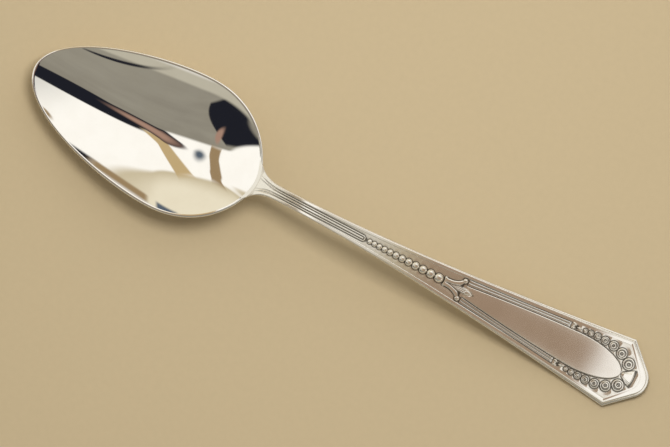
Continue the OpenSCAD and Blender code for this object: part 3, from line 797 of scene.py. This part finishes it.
def blank_shape(edges, ways, heart=None):
    rings = []
    shades = []
    for edge, way in zip(edges, ways):
        s = edge[0]
        t = thickness(s)
        drop = bevel_drop * t / neck_t
        low = (bevel_drop + edge_h) * t / neck_t
        bevel = edge + (BEVEL_SHARES * bevel_w(s))[:, None] * way
        belly = edge + BELLY_INSETS[:, None] * way
        inner = edge + border_inner(s) * way
        field = np.stack([np.full(len(FIELD_SHARES), inner[0]), inner[1] * FIELD_SHARES], -1)
        apart = clearance(field[:, 0], field[:, 1])
        reach = min(COVE_SPREAD * inner[1], COVE_REACH) + LEAST_W
        carried = ease((s - bowl_len) / neck_len)
        cove = COVE_LIP * border_rise(s) * ease(apart / reach) * carried
        # Oxide and painted shade on the field close to the forms
        beside = clearance(field[:, 0], field[:, 1], before_bands=False)
        recess = (1 - ease(beside / RECESS_REACH)) * carried
        half = np.vstack([belly[::-1], bevel])
        half_heights = np.concatenate([-mix(low, t, BELLY_DROPS[::-1]), -drop * BEVEL_DROPS])
        keel = np.array([[belly[-1][0], 0.0]])
        plan = np.vstack([keel, half, field, half[::-1] * [1, -1]])
        heights = np.concatenate([[-t], half_heights, cove, half_heights[::-1]])
        plain = np.zeros(len(half))
        shades.append(np.concatenate([[0.0], plain, recess, plain]))
        fade = shoulder_fade(s) ** 2
        share = np.abs(plan[:, 1]) / max(edge[1], LEAST_W)
        plan[:, 0] += (heel_station(share * shoulder_w / 2) - stem_from) * fade
        rings.append(on_top(plan, heights))
    rings = np.array(rings)
    rings[..., 2] = np.maximum(rings[..., 2], 0.0)
    # A ring starts at the keel, which the caps take as facing itself
    rings = np.concatenate([rings, rings[:, :1]], 1)
    shades = np.array([np.append(row, 0.0) for row in shades])
    return skin(rings, shades, heart, len(BELLY_INSETS) + len(BEVEL_SHARES) - 1)


# Border: a low roll at the neck, which turns into a crest with a long inner slope at the end
CREST_SHARE = 0.26
SLOPE_SHARE = 0.5
CREST_FALL = 0.28
CREST_FROM = 120.0
CREST_OVER = 60.0


def border_shape():
    edges, ways = whole_rail(np.concatenate([reeded_stations, plate_stations[1:]]))
    s = edges[:, 0]
    left = edges + bevel_w(s)[:, None] * ways
    right = edges + border_inner(s)[:, None] * ways
    share, roll, _ = FLAT_ROLL
    slope = 1 - CREST_FALL * ease((share - SLOPE_SHARE) / (1 - SLOPE_SHARE))
    crest = np.where(share < CREST_SHARE, arc_rise(1 - share / CREST_SHARE), slope)
    crest[-1] = 0.0
    turn = ease((s - CREST_FROM) / CREST_OVER)[:, None]
    rise = mix(roll, crest, turn)
    both_rises = np.vstack([rise, rise[::-1]])
    both_lefts = np.vstack([left, left[::-1] * [1, -1]])
    both_rights = np.vstack([right, right[::-1] * [1, -1]])
    heights = border_rise(s)
    profile = (share, both_rises, foot_hollow(both_rises))
    return strip(both_lefts, both_rights, np.concatenate([heights, heights[::-1]]), profile)


# Neck reeding
REED_RISE = 0.32
HEEL_RIB_RISE = 0.1
BEND_POINTS = 25
RIB_TIP_TURN = 85.0
RIB_TIP_POINTS = 12
straight_stations = reeded_stations[reeded_stations < bend_from - side_gap]


def reed_shape():
    near = in_neck(straight_stations, reed_from_edge)
    far = in_neck(straight_stations, reed_from_edge + reed_w)
    turn = round_way(np.linspace(math.pi / 2, -math.pi / 2, BEND_POINTS))
    left = np.vstack([near, bend_middle + reed_r * turn, near[::-1] * [1, -1]])
    right = np.vstack([far, bend_middle + (reed_r - reed_w) * turn, far[::-1] * [1, -1]])
    return strip(left, right, REED_RISE * heel_growth(left[:, 0]), ROLL)


def rib_shape():
    edge = in_neck(straight_stations, rib_from_edge)
    angles = np.radians(np.linspace(0, RIB_TIP_TURN, RIB_TIP_POINTS))
    tip = bend_middle + rib_r * np.stack([np.sin(angles), np.cos(angles)], -1)
    left = np.vstack([edge, tip])
    growth = ease((straight_stations - bowl_len) / shoulder_len)
    straight = heel_growth(straight_stations) * mix(HEEL_RIB_RISE, REED_RISE, growth)
    heights = np.concatenate([straight, REED_RISE * np.sqrt(np.cos(angles))])
    return strip(left, left * [1, -1], heights, FLAT_ROLL)


# Beads: round bosses that all but touch
BEAD_GROWTH = 0.09
BEAD_POINTS = 48
BEAD_RINGS = 18


def circle(count, radius):
    return radius * round_way(np.linspace(0, 2 * math.pi, count, endpoint=False))


def bead_shape(node):
    middle, size = middle_and_size(node)
    r = size[1] / 2

    def height(share, angle):
        return 2 * r * bead_rise + r * arc_rise(share)

    return dome(middle[:2], circle(BEAD_POINTS, r + BEAD_GROWTH), height, BEAD_RINGS)


# Calyx: a collar that hugs the last bead, a fluted tongue, and petals that curl out to a ball
COLLAR_BOW = 0.3
COLLAR_HALF_T = 0.46
COLLAR_POINTS = 31
COLLAR_END_REACH = 0.985
COLLAR_END_POWER = 6.0
COLLAR_END_SHARE = 0.6
COLLAR_RISE_SHARE = 0.62
COLLAR_LEAST_RISE = 0.05


def collar_shape():
    across = np.linspace(-1.0, 1.0, COLLAR_POINTS)
    bow = collar_middle[0] + COLLAR_BOW * (0.5 - across**2)
    path = np.stack([bow, across * collar_size[1] / 2], -1)
    end = arc_rise(across * COLLAR_END_REACH, COLLAR_END_POWER)
    half = COLLAR_HALF_T * mix(COLLAR_END_SHARE, 1.0, end)
    return ridge(path, half, COLLAR_RISE_SHARE * collar_size[2] * end + COLLAR_LEAST_RISE, ROLL)


def lens(stations, low, high, width):
    """Half the width of a pointed form between two stations."""
    length = high - low
    r = (length**2 + width**2) / (4 * width)
    away = stations - (low + high) / 2
    return np.sqrt(np.maximum(r**2 - away**2, 0.0)) - (r - width / 2)


TONGUE_SKEW = 1.67


def tongue_half(s, past_tip=0.0):
    """Half the tongue's width, which is greatest past its middle."""
    low, high = tongue_low[0], tongue_high[0] + past_tip
    t = np.clip((s - low) / (high - low), 0.0, 1.0) ** TONGUE_SKEW
    return np.maximum(lens(mix(low, high, t), low, high, tongue_w), 0.0)


TONGUE_FLUTES = 4
TONGUE_FLUTE_DEPTH = 0.3
# Oxide and painted shade in the flutes and round the foot of the tip
TONGUE_FLUTE_OXIDE_AND_SHADE = 0.8
TONGUE_TIP_SHARE = 0.62
TONGUE_TIP_BLEND = 0.15
TONGUE_TIP_OXIDE_AND_SHADE = 0.7
TONGUE_LEAST_HALF = 0.03
TONGUE_ROWS = 80
TONGUE_POINTS = 41


def tongue_shape():
    t = np.linspace(0, 1, TONGUE_ROWS)
    s = mix(tongue_low[0], tongue_high[0], t)
    half = np.maximum(tongue_half(s), TONGUE_LEAST_HALF)
    edge = np.stack([s, half], -1)
    share, plain, plain_hollow = roll_profile(TONGUE_POINTS)
    _, fluted, fluted_hollow = fluted_profile(TONGUE_POINTS, TONGUE_FLUTES, TONGUE_FLUTE_DEPTH)
    smooth = ease((t - TONGUE_TIP_SHARE) / TONGUE_TIP_BLEND)[:, None]
    rise = mix(fluted, plain, smooth)
    hollow = mix(TONGUE_FLUTE_OXIDE_AND_SHADE * fluted_hollow, TONGUE_TIP_OXIDE_AND_SHADE * plain_hollow, smooth)
    return strip(edge, edge * [1, -1], half, (share, rise, hollow))


PETAL_ROOT_RISE = 0.45
PETAL_TIP_RISE = 0.75
PETAL_FREE_FROM = 0.82
PETAL_ROWS = 60
PETAL_BALL_SEAT = 0.1
PETAL_BALL_POINTS = 40
PETAL_BALL_RINGS = 16


def petal_shape(side):
    turn = np.array([1.0, SIDES[side]])
    s = np.linspace(collar_middle[0] + PETAL_START, petal_tip[0], PETAL_ROWS)
    middle = petal_y(s)
    lean = np.hypot(1.0, slope_of(petal_y, s))
    outer = np.stack([s, middle + PETAL_HALF_W * lean], -1)
    t = np.linspace(0, 1, len(s))
    beside_tongue = tongue_half(s) + PETAL_SEAM
    free_y = np.maximum(middle - PETAL_HALF_W * lean, beside_tongue)
    inner_y = mix(beside_tongue, free_y, ease((t - PETAL_FREE_FROM) / (1 - PETAL_FREE_FROM)))
    inner = np.stack([s, inner_y], -1)
    blade = strip(outer * turn, inner * turn, mix(PETAL_ROOT_RISE, PETAL_TIP_RISE, t), FLAT_ROLL)

    def height(share, angle):
        return PETAL_BALL_R * (PETAL_BALL_SEAT + arc_rise(share))

    ball = dome(petal_tip * turn, circle(PETAL_BALL_POINTS, PETAL_BALL_R), height, PETAL_BALL_RINGS)
    return join([blade, ball])


# Panel: a long teardrop, hollowed round the tongue
PANEL_EDGE_RISE = 0.45
PANEL_CROWN = 0.14
PANEL_EDGE_ROUND = 0.3
PANEL_LEAST = 0.001
PANEL_START_LEN = 1.6
PANEL_START_RISE = 0.08
PANEL_FINE_LEN = 5.0
PANEL_END_TURN = 89.2
PANEL_ROWS = 60
PANEL_SIDE_POINTS = 36
# Oxide and painted shade round the panel's foot
PANEL_OXIDE_AND_SHADE = 0.8


def panel_shape():
    fine_to = panel_from + PANEL_FINE_LEN
    end_turn = np.radians(np.linspace(0, PANEL_END_TURN, PANEL_ROWS))
    s = np.concatenate([
        np.linspace(panel_from, fine_to, PANEL_ROWS, endpoint=False),
        np.linspace(fine_to, panel_widest, PANEL_ROWS, endpoint=False),
        panel_widest + panel_round_len * np.sin(end_turn),
    ])
    side = np.sin(np.linspace(PANEL_LEAST, math.pi / 2, PANEL_SIDE_POINTS))
    share = np.concatenate([-side[::-1], [0.0], side])
    notch = np.where(s < tongue_high[0] + side_gap, tongue_half(s, side_gap) + side_gap, 0.0)[:, None]
    edge = panel_y(s)[:, None]
    y = np.sign(share) * mix(notch, edge, np.abs(share))
    inside = (edge - np.abs(y)) / np.hypot(1.0, slope_of(panel_y, s))[:, None]
    rounding = arc_rise(np.clip(1 - inside / PANEL_EDGE_ROUND, 0.0, 1.0))
    level = np.where((share == 0.0) & (notch > PANEL_LEAST), 0.0, rounding)
    crown = PANEL_EDGE_RISE + PANEL_CROWN * (1 - (y / np.maximum(edge, PANEL_LEAST)) ** 2)
    plan = np.stack([s[:, None] * np.ones_like(y), y], -1)
    started = ease((s - panel_from) / PANEL_START_LEN)[:, None]
    height = seat_gap + crown * level * mix(PANEL_START_RISE, 1.0, started)
    return skin(on_top(plan, height), PANEL_OXIDE_AND_SHADE * foot_hollow(level) * started)


# Double threads between the panel and the border
THREAD_RISE = 0.2
# The threads are darkened all over with at least this share of oxide and painted shade
THREAD_OXIDE_AND_SHADE = 0.42
THREAD_END_SHARE = 0.03
THREAD_END_LEAST = 0.05
THREAD_ROWS = 120


def thread_shape(side):
    low, high = extent("thread_" + side)
    turn = np.array([1.0, SIDES[side]])
    s = np.linspace(low[0], high[0], THREAD_ROWS)
    outer = np.stack([s, way_outer(s)], -1) * turn
    inner = np.stack([s, way_inner(s)], -1) * turn
    t = np.linspace(0, 1, len(s))
    from_end = np.minimum(t, 1 - t) / THREAD_END_SHARE
    heights = THREAD_RISE * np.minimum(1.0, np.sqrt(from_end + THREAD_END_LEAST))
    share, rise, hollow = DOUBLE_ROLL
    return strip(outer, inner, heights, (share, rise, np.maximum(hollow, THREAD_OXIDE_AND_SHADE)))


# Rosettes: a rolled ring round a curling inner ring with a pit and an eye. The smallest have no curl, a wide
# eye and little oxide and painted shade.
RING_MIDDLE = 0.87
RING_HALF = 0.13
RING_POWER = 2.5
CURL_MIDDLE = 0.45
CURL_HALF = 0.16
CURL_POWER = 3.0
CURL_DRIFT = 0.1
EYE_R = 0.13
EYE_RISE = 0.8
SMALL_EYE_R = 0.5
SMALL_OXIDE_AND_SHADE = 0.4
CURL_FROM_R = 0.6
CURL_OVER_R = 0.8
ROSETTE_WALL = 0.45
ROSETTE_SWELL = 0.4
ROSETTE_RISE_SHARE = 0.95
ROSETTE_POINTS = 72
ROSETTE_RINGS = 40


def rosette_shape(node, turn, index):
    middle, size = middle_and_size(node)
    r = size[1] / 2
    detail = ease((r - CURL_FROM_R) / CURL_OVER_R)
    eye_r = mix(SMALL_EYE_R, EYE_R, detail)

    def relief(share, angle):
        ring = arc_rise(np.clip((share - RING_MIDDLE) / RING_HALF, -1.0, 1.0), RING_POWER)
        drift = CURL_DRIFT * np.cos(angle * turn + index)
        curl = arc_rise(np.clip((share - CURL_MIDDLE - drift) / CURL_HALF, -1.0, 1.0), CURL_POWER)
        eye = mix(1.0, EYE_RISE, detail) * arc_rise(np.clip(share / eye_r, 0.0, 1.0))
        return np.maximum(np.maximum(ring, curl * detail), eye)

    def height(share, angle):
        swell = 1 - ROSETTE_SWELL * share**2
        return ROSETTE_RISE_SHARE * size[2] * swell * mix(ROSETTE_WALL, 1.0, relief(share, angle))

    def shade(share, angle):
        return mix(SMALL_OXIDE_AND_SHADE, 1.0, detail) * foot_hollow(relief(share, angle))

    return dome(middle[:2], circle(ROSETTE_POINTS, r), height, ROSETTE_RINGS, shade)


# Sprigs: three small leaves
LEAF_LEAST_HALF = 0.02
LEAF_STEEPNESS = 1.8
LEAF_ROWS = 24


def sprig_shape(side):
    low, high = extent("sprig_" + side)
    turn = SIDES[side]
    leaf_len = (high - low)[0] / (1 + math.cos(leaf_turn))
    spread = LEAF_W / 2 + side_gap
    mid_y = (low[1] + high[1]) / 2
    start = high[0] - leaf_len
    t = np.linspace(-0.5, 0.5, LEAF_ROWS)
    half = np.maximum(LEAF_W / 2 * (1 - (2 * t) ** 2), LEAF_LEAST_HALF)
    leaves = [(start + leaf_len / 2, 0.0, 0.0)]
    leaves += [(start - leaf_len / 2, way * spread, -way * leaf_turn) for way in (-1.0, 1.0)]
    parts = []
    for x, y, angle in leaves:
        path = np.array([x, mid_y + turn * y]) + t[:, None] * leaf_len * round_way(turn * angle)
        parts.append(ridge(path, half, half * LEAF_STEEPNESS, ROLL))
    return join(parts)


# Keystone: a swelling fan between the largest rosettes, with fine ridges along its sides
KEY_RISE = 0.8
KEY_BOW = 0.55
KEY_RIDGE_RISE = 0.07
KEY_RIDGE_COUNT = 6
KEY_RIDGE_FROM = 0.35
KEY_RIDGE_FROM_BLEND = 0.2
KEY_RIDGE_TO = 0.85
KEY_RIDGE_TO_BLEND = 0.1
KEY_START_RISE = 0.55
KEY_START_LEN = 0.5
KEY_FIRST_ROW_SHARE = 0.4
KEY_FALL_FROM = 0.72
KEY_FALL_MOST = 0.99
KEY_FALL_POWER = 2.4
KEY_ROWS = 48
KEY_POINTS = 61


def keystone_shape():
    t = np.linspace(0, 1, KEY_ROWS)
    s = mix(key_low[0], key_high[0], t)
    share, rise, hollow = roll_profile(KEY_POINTS)
    off = np.abs(2 * share - 1)
    begun = ease((off - KEY_RIDGE_FROM) / KEY_RIDGE_FROM_BLEND)
    over = ease((off - KEY_RIDGE_TO) / KEY_RIDGE_TO_BLEND)
    ripples = KEY_RIDGE_RISE * begun * (1 - over) * np.cos(off * KEY_RIDGE_COUNT * 2 * math.pi)
    y = key_half(s)[:, None] * (1 - 2 * share)[None, :]
    bow = KEY_BOW * t[:, None] ** 2 * off[None, :] ** 2
    plan = np.stack([s[:, None] - bow, y], -1)
    fall = np.clip((t - KEY_FALL_FROM) / (1 - KEY_FALL_FROM), 0.0, KEY_FALL_MOST)
    ends = arc_rise(fall, KEY_FALL_POWER) * np.clip(KEY_START_RISE + t / KEY_START_LEN, 0.0, 1.0)
    ends[0] *= KEY_FIRST_ROW_SHARE
    height = KEY_RISE * ends[:, None] * (rise + ripples * rise)
    dark = np.maximum(hollow, foot_hollow(ends)[:, None])
    return skin(on_top(plan, seat_gap + height), dark)


stem_heart = np.array([bowl_len + rim_land, 0.0, rim_z(bowl_len) - rim_edge / 2])
add_piece("bowl", bowl_shape(), "polished_bowl")
add_piece("stem", blank_shape(*stem_rail, stem_heart), "satin_handle")
add_piece("handle_plate", blank_shape(*plate_rail), "satin_handle")
add_piece("border_moulding", border_shape())
add_piece("stem_reed", reed_shape())
add_piece("stem_rib", rib_shape())
add_piece("cartouche_panel", panel_shape(), "brushed_panel")
add_piece("calyx_collar", collar_shape())
add_piece("calyx_tongue", tongue_shape())
add_piece("keystone", keystone_shape())
for name in bead_nodes:
    add_piece(name, bead_shape(name))
for side in SIDES:
    add_piece("calyx_petal_" + side, petal_shape(side))
    add_piece("thread_" + side, thread_shape(side))
    add_piece("sprig_" + side, sprig_shape(side))
    for index, name in enumerate(numbered(f"rosette_{side}_"), 1):
        add_piece(name, rosette_shape(name, SIDES[side], index))


# Floor
FLOOR_COLOUR = (0.58, 0.478, 0.314)
FLOOR_HALF = 3.0
FLOOR_DROP = 1e-4
PAPER_SCALE = 500.0
PAPER_SHADE = 0.94
SQUARE = ((-1, -1), (1, -1), (1, 1), (-1, 1))


def add_sheet(name, corners, material):
    """A flat stage piece over a list of corners in metres."""
    mesh = bpy.data.meshes.new(name)
    mesh.from_pydata(corners, [], [tuple(range(len(corners)))])
    mesh.materials.append(material)
    sheet = add_object(name, mesh)
    return sheet


paper = bpy.data.materials.new("paper")
paper.use_nodes = True
paper_tree = paper.node_tree
paper_shader = paper_tree.nodes["Principled BSDF"]
paper_shader.inputs["Roughness"].default_value = 0.9
paper_shader.inputs["Specular IOR Level"].default_value = 0.1
paper_place = add_node(paper_tree, "ShaderNodeTexCoord").outputs["Object"]
paper_noise = noise(paper_tree, paper_place, PAPER_SCALE)
shaded_floor = tuple(PAPER_SHADE * c for c in FLOOR_COLOUR)
paper_tone = blend_colour(paper_tree, paper_noise, FLOOR_COLOUR, shaded_floor)
paper_tree.links.new(paper_tone, paper_shader.inputs["Base Color"])
add_sheet("floor", [(x * FLOOR_HALF, y * FLOOR_HALF, -FLOOR_DROP) for x, y in SQUARE], paper)

# A glowing card over the handle, which only mirrors show: it paints the reflections seen in the handle.
# Its colours run along the spoon, by X in metres, and over the end they turn to cream on both sides.
CREAM = (0.86, 0.83, 0.74)
BROWN = (0.38, 0.31, 0.22)
BRIGHT = (1.0, 0.98, 0.94)
GREY = (0.66, 0.625, 0.55)
KHAKI = (0.5, 0.43, 0.31)
TAN = (0.35, 0.255, 0.18)
CARD_STOPS = (
    (-0.045, CREAM), (-0.031, CREAM), (-0.0272, BROWN), (-0.0232, BROWN), (-0.021, BRIGHT), (-0.0165, BRIGHT),
    (-0.011, GREY), (0.016, GREY), (0.027, KHAKI), (0.04, TAN), (0.09, TAN), (0.0935, BRIGHT), (0.13, BRIGHT),
)
CARD_FROM_X = CARD_STOPS[0][0]
CARD_TO_X = CARD_STOPS[-1][0]
CARD_HALF_Y = 0.012
CARD_BOWL_Z = 0.045
CARD_END_Z = 0.018
CARD_SIDE_Y = (0.0075, 0.0095)
CARD_SIDE_X = (0.06, 0.08)
card_paint = bpy.data.materials.new("card")
card_paint.use_nodes = True
card_tree = card_paint.node_tree
card_tree.nodes.clear()
card_place = add_node(card_tree, "ShaderNodeTexCoord").outputs["Object"]
card_axes = add_node(card_tree, "ShaderNodeSeparateXYZ", {0: card_place}).outputs
span = {"Value": card_axes[0], "From Min": CARD_FROM_X, "From Max": CARD_TO_X}
card_share = add_node(card_tree, "ShaderNodeMapRange", span).outputs[0]
card_ramp = add_node(card_tree, "ShaderNodeValToRGB", {"Fac": card_share})
stops = card_ramp.color_ramp.elements
while len(stops) < len(CARD_STOPS):
    stops.new(1.0)
for stop, (stop_x, colour) in zip(stops, CARD_STOPS):
    stop.position = (stop_x - CARD_FROM_X) / (CARD_TO_X - CARD_FROM_X)
    stop.color = (*colour, 1.0)
card_side = smooth_range(card_tree, math_node(card_tree, "ABSOLUTE", card_axes[1]), *CARD_SIDE_Y)
card_end = smooth_range(card_tree, card_axes[0], *CARD_SIDE_X)
pale = math_node(card_tree, "MULTIPLY", card_side, card_end)
card_colour = blend_colour(card_tree, pale, card_ramp.outputs[0], CREAM)
glow = add_node(card_tree, "ShaderNodeEmission", {"Color": card_colour, "Strength": 1.0}).outputs[0]
add_node(card_tree, "ShaderNodeOutputMaterial", {"Surface": glow})
card_middle = (CARD_FROM_X + CARD_TO_X) / 2
card_half = (CARD_TO_X - CARD_FROM_X) / 2
card_corners = []
for x, y in SQUARE:
    card_z = CARD_END_Z if x > 0 else CARD_BOWL_Z
    card_corners.append((card_middle + x * card_half, y * CARD_HALF_Y, card_z))
card = add_sheet("card", card_corners, card_paint)
card.visible_camera = False
card.visible_diffuse = False
card.visible_shadow = False

# Surroundings that the silver mirrors. X and Y of a direction place it on the sky seen from below:
# a bright window side with a sandy strip to the left of the spoon, a grey wall to the right, soft shapes over
# both, and a pale band all round at the horizon.
world = bpy.data.worlds.new("studio")
bpy.context.scene.world = world
world.use_nodes = True
sky = world.node_tree
direction = add_node(sky, "ShaderNodeTexCoord").outputs["Generated"]
axes = add_node(sky, "ShaderNodeSeparateXYZ", {0: direction}).outputs
WINDOW = (1.06, 1.04, 0.99)
SHADED_WINDOW = (0.66, 0.65, 0.61)
WALL = (0.36, 0.34, 0.28)
SHADED_WALL = (0.22, 0.2, 0.165)
SAND = (0.86, 0.79, 0.62)
SHADED_SAND = (0.6, 0.52, 0.36)
RIM_WALL = (0.52, 0.49, 0.4)
DARK = (0.014, 0.015, 0.022)
ROSE = (0.4, 0.25, 0.19)
OCHRE = (0.56, 0.42, 0.22)
UMBER = (0.34, 0.24, 0.13)
SLATE = (0.1, 0.13, 0.17)
HORIZON = (0.8, 0.77, 0.72)
HORIZON_RANGE = (0.06, 0.01)
# A scale along Z that leaves the height of a direction out
UPWARD = 1000.0


def soft_shape(middle, radii, turn, inner, square):
    """1 inside an ellipse or a rectangle of directions, and 0 outside it."""
    inputs = {
        "Vector": direction,
        "Location": (*middle, 0.0),
        "Rotation": (0.0, 0.0, math.radians(turn)),
        "Scale": (*radii, UPWARD),
    }
    spot = add_node(sky, "ShaderNodeMapping", inputs, vector_type="TEXTURE").outputs[0]
    if square:
        size = add_node(sky, "ShaderNodeVectorMath", {0: spot}, operation="ABSOLUTE").outputs[0]
        sides = add_node(sky, "ShaderNodeSeparateXYZ", {0: size}).outputs
        away = math_node(sky, "MAXIMUM", sides[0], sides[1])
    else:
        away = add_node(sky, "ShaderNodeVectorMath", {0: spot}, operation="LENGTH").outputs["Value"]
    return smooth_range(sky, away, 1.0, inner)


def leaning_side(lean, start, end):
    """1 past a straight edge across the sky."""
    across = math_node(sky, "SUBTRACT", axes[1], math_node(sky, "MULTIPLY", axes[0], lean))
    return smooth_range(sky, across, start, end)


def low_side(start, full, y_full):
    """1 low on one side of the sky."""
    low = smooth_range(sky, axes[2], start, full)
    return math_node(sky, "MULTIPLY", low, smooth_range(sky, axes[1], 0.0, y_full))


def lay_shapes(below, shapes):
    """The sky with soft shapes laid over it in turn."""
    for colour, *shape in shapes:
        below = blend_colour(sky, soft_shape(*shape), below, colour)
    return below


# Colour, middle, radii, turn in degrees, share of the radii that is full, and whether it is a rectangle
WIDE_SHAPES = (
    (UMBER, (-0.77, 0.05), (0.36, 0.04), 97.7, 0.75, True),
    (SLATE, (-0.65, 0.06), (0.075, 0.2), 0.0, 0.2, False),
    (DARK, (-0.6, -0.67), (0.37, 0.085), -50.0, 0.85, True),
    (ROSE, (-0.68, -0.45), (0.18, 0.028), 104.0, 0.4, False),
    (WINDOW, (-0.94, -0.34), (0.15, 0.28), 0.0, 0.8, False),
    (DARK, (0.38, 0.12), (0.53, 0.245), -8.0, 0.85, False),
    (OCHRE, (-0.36, 0.34), (0.34, 0.13), -42.0, 0.75, True),
    (DARK, (-0.09, 0.045), (0.47, 0.15), -5.0, 0.8, False),
    (ROSE, (-0.12, 0.06), (0.46, 0.13), -5.0, 0.3, False),
)
LOW_SHAPES = (
    (DARK, (0.22, -0.935), (0.21, 0.009), 19.5, 0.4, False),
    (UMBER, (0.39, 0.855), (0.1, 0.012), -38.0, 0.4, False),
)
# Colour, and the X at which a streak across the low window starts and ends
STREAKS = ((DARK, 0.14, 0.42), (UMBER, -0.07, 0.1), (SLATE, -0.4, -0.22))
STREAK_SOFTNESS = 0.05

folds = noise(sky, direction, scale=1.6, detail=3.0, stretch=(1.0, 2.5, 1.0))
cloth = blend_colour(sky, folds, SHADED_WALL, WALL)
pane = blend_colour(sky, smooth_range(sky, axes[0], 0.3, 0.75), WINDOW, SHADED_WINDOW)
seen = blend_colour(sky, leaning_side(lean=0.4, start=0.0, end=0.06), cloth, pane)
sandy = blend_colour(sky, leaning_side(lean=0.74, start=0.93, end=1.12), SHADED_SAND, SAND)
seen = blend_colour(sky, leaning_side(lean=0.74, start=0.92, end=0.97), seen, sandy)
seen = lay_shapes(seen, WIDE_SHAPES)
seen = blend_colour(sky, low_side(start=0.22, full=0.17, y_full=-0.2), seen, RIM_WALL)
seen = lay_shapes(seen, LOW_SHAPES)
low_window = low_side(start=0.14, full=0.1, y_full=0.2)
for colour, streak_from, streak_to in STREAKS:
    past_start = smooth_range(sky, axes[0], streak_from - STREAK_SOFTNESS, streak_from)
    before_end = smooth_range(sky, axes[0], streak_to + STREAK_SOFTNESS, streak_to)
    streak = math_node(sky, "MULTIPLY", low_window, math_node(sky, "MULTIPLY", past_start, before_end))
    seen = blend_colour(sky, streak, seen, colour)
seen = blend_colour(sky, smooth_range(sky, axes[2], *HORIZON_RANGE), seen, HORIZON)
sky.links.new(seen, sky.nodes["Background"].inputs["Color"])
sky.nodes["Background"].inputs["Strength"].default_value = 1.0

# Window light
lamp_data = bpy.data.lights.new("window", "AREA")
lamp_data.shape = "RECTANGLE"
lamp_data.size = 0.2
lamp_data.size_y = 0.15
lamp_data.energy = 1.5
lamp_data.color = (1.0, 0.97, 0.92)
lamp = add_object("window", lamp_data)
lamp.location = (-0.02, 0.14, 0.5)
lamp.rotation_euler = (-lamp.location.normalized()).to_track_quat("-Z", "Y").to_euler()
lamp.visible_glossy = False

# Camera: straight above, turned so that the handle runs to the lower right of the frame
CAMERA_TURN = math.radians(27.7)
CAMERA_H = 3.0
FRAME_W = 203.45 * MM
SIGHT_LEVEL = 8 * MM
CAMERA_X = -2.0 * MM
camera_data = bpy.data.cameras.new("camera")
camera_data.sensor_width = 36.0
camera_data.lens = camera_data.sensor_width * (CAMERA_H - SIGHT_LEVEL) / FRAME_W
camera = add_object("camera", camera_data)
camera.location = (CAMERA_X, 0.0, CAMERA_H)
camera.rotation_euler = (0.0, 0.0, CAMERA_TURN)
bpy.context.scene.camera = camera
bpy.context.scene.view_settings.view_transform = "Standard"
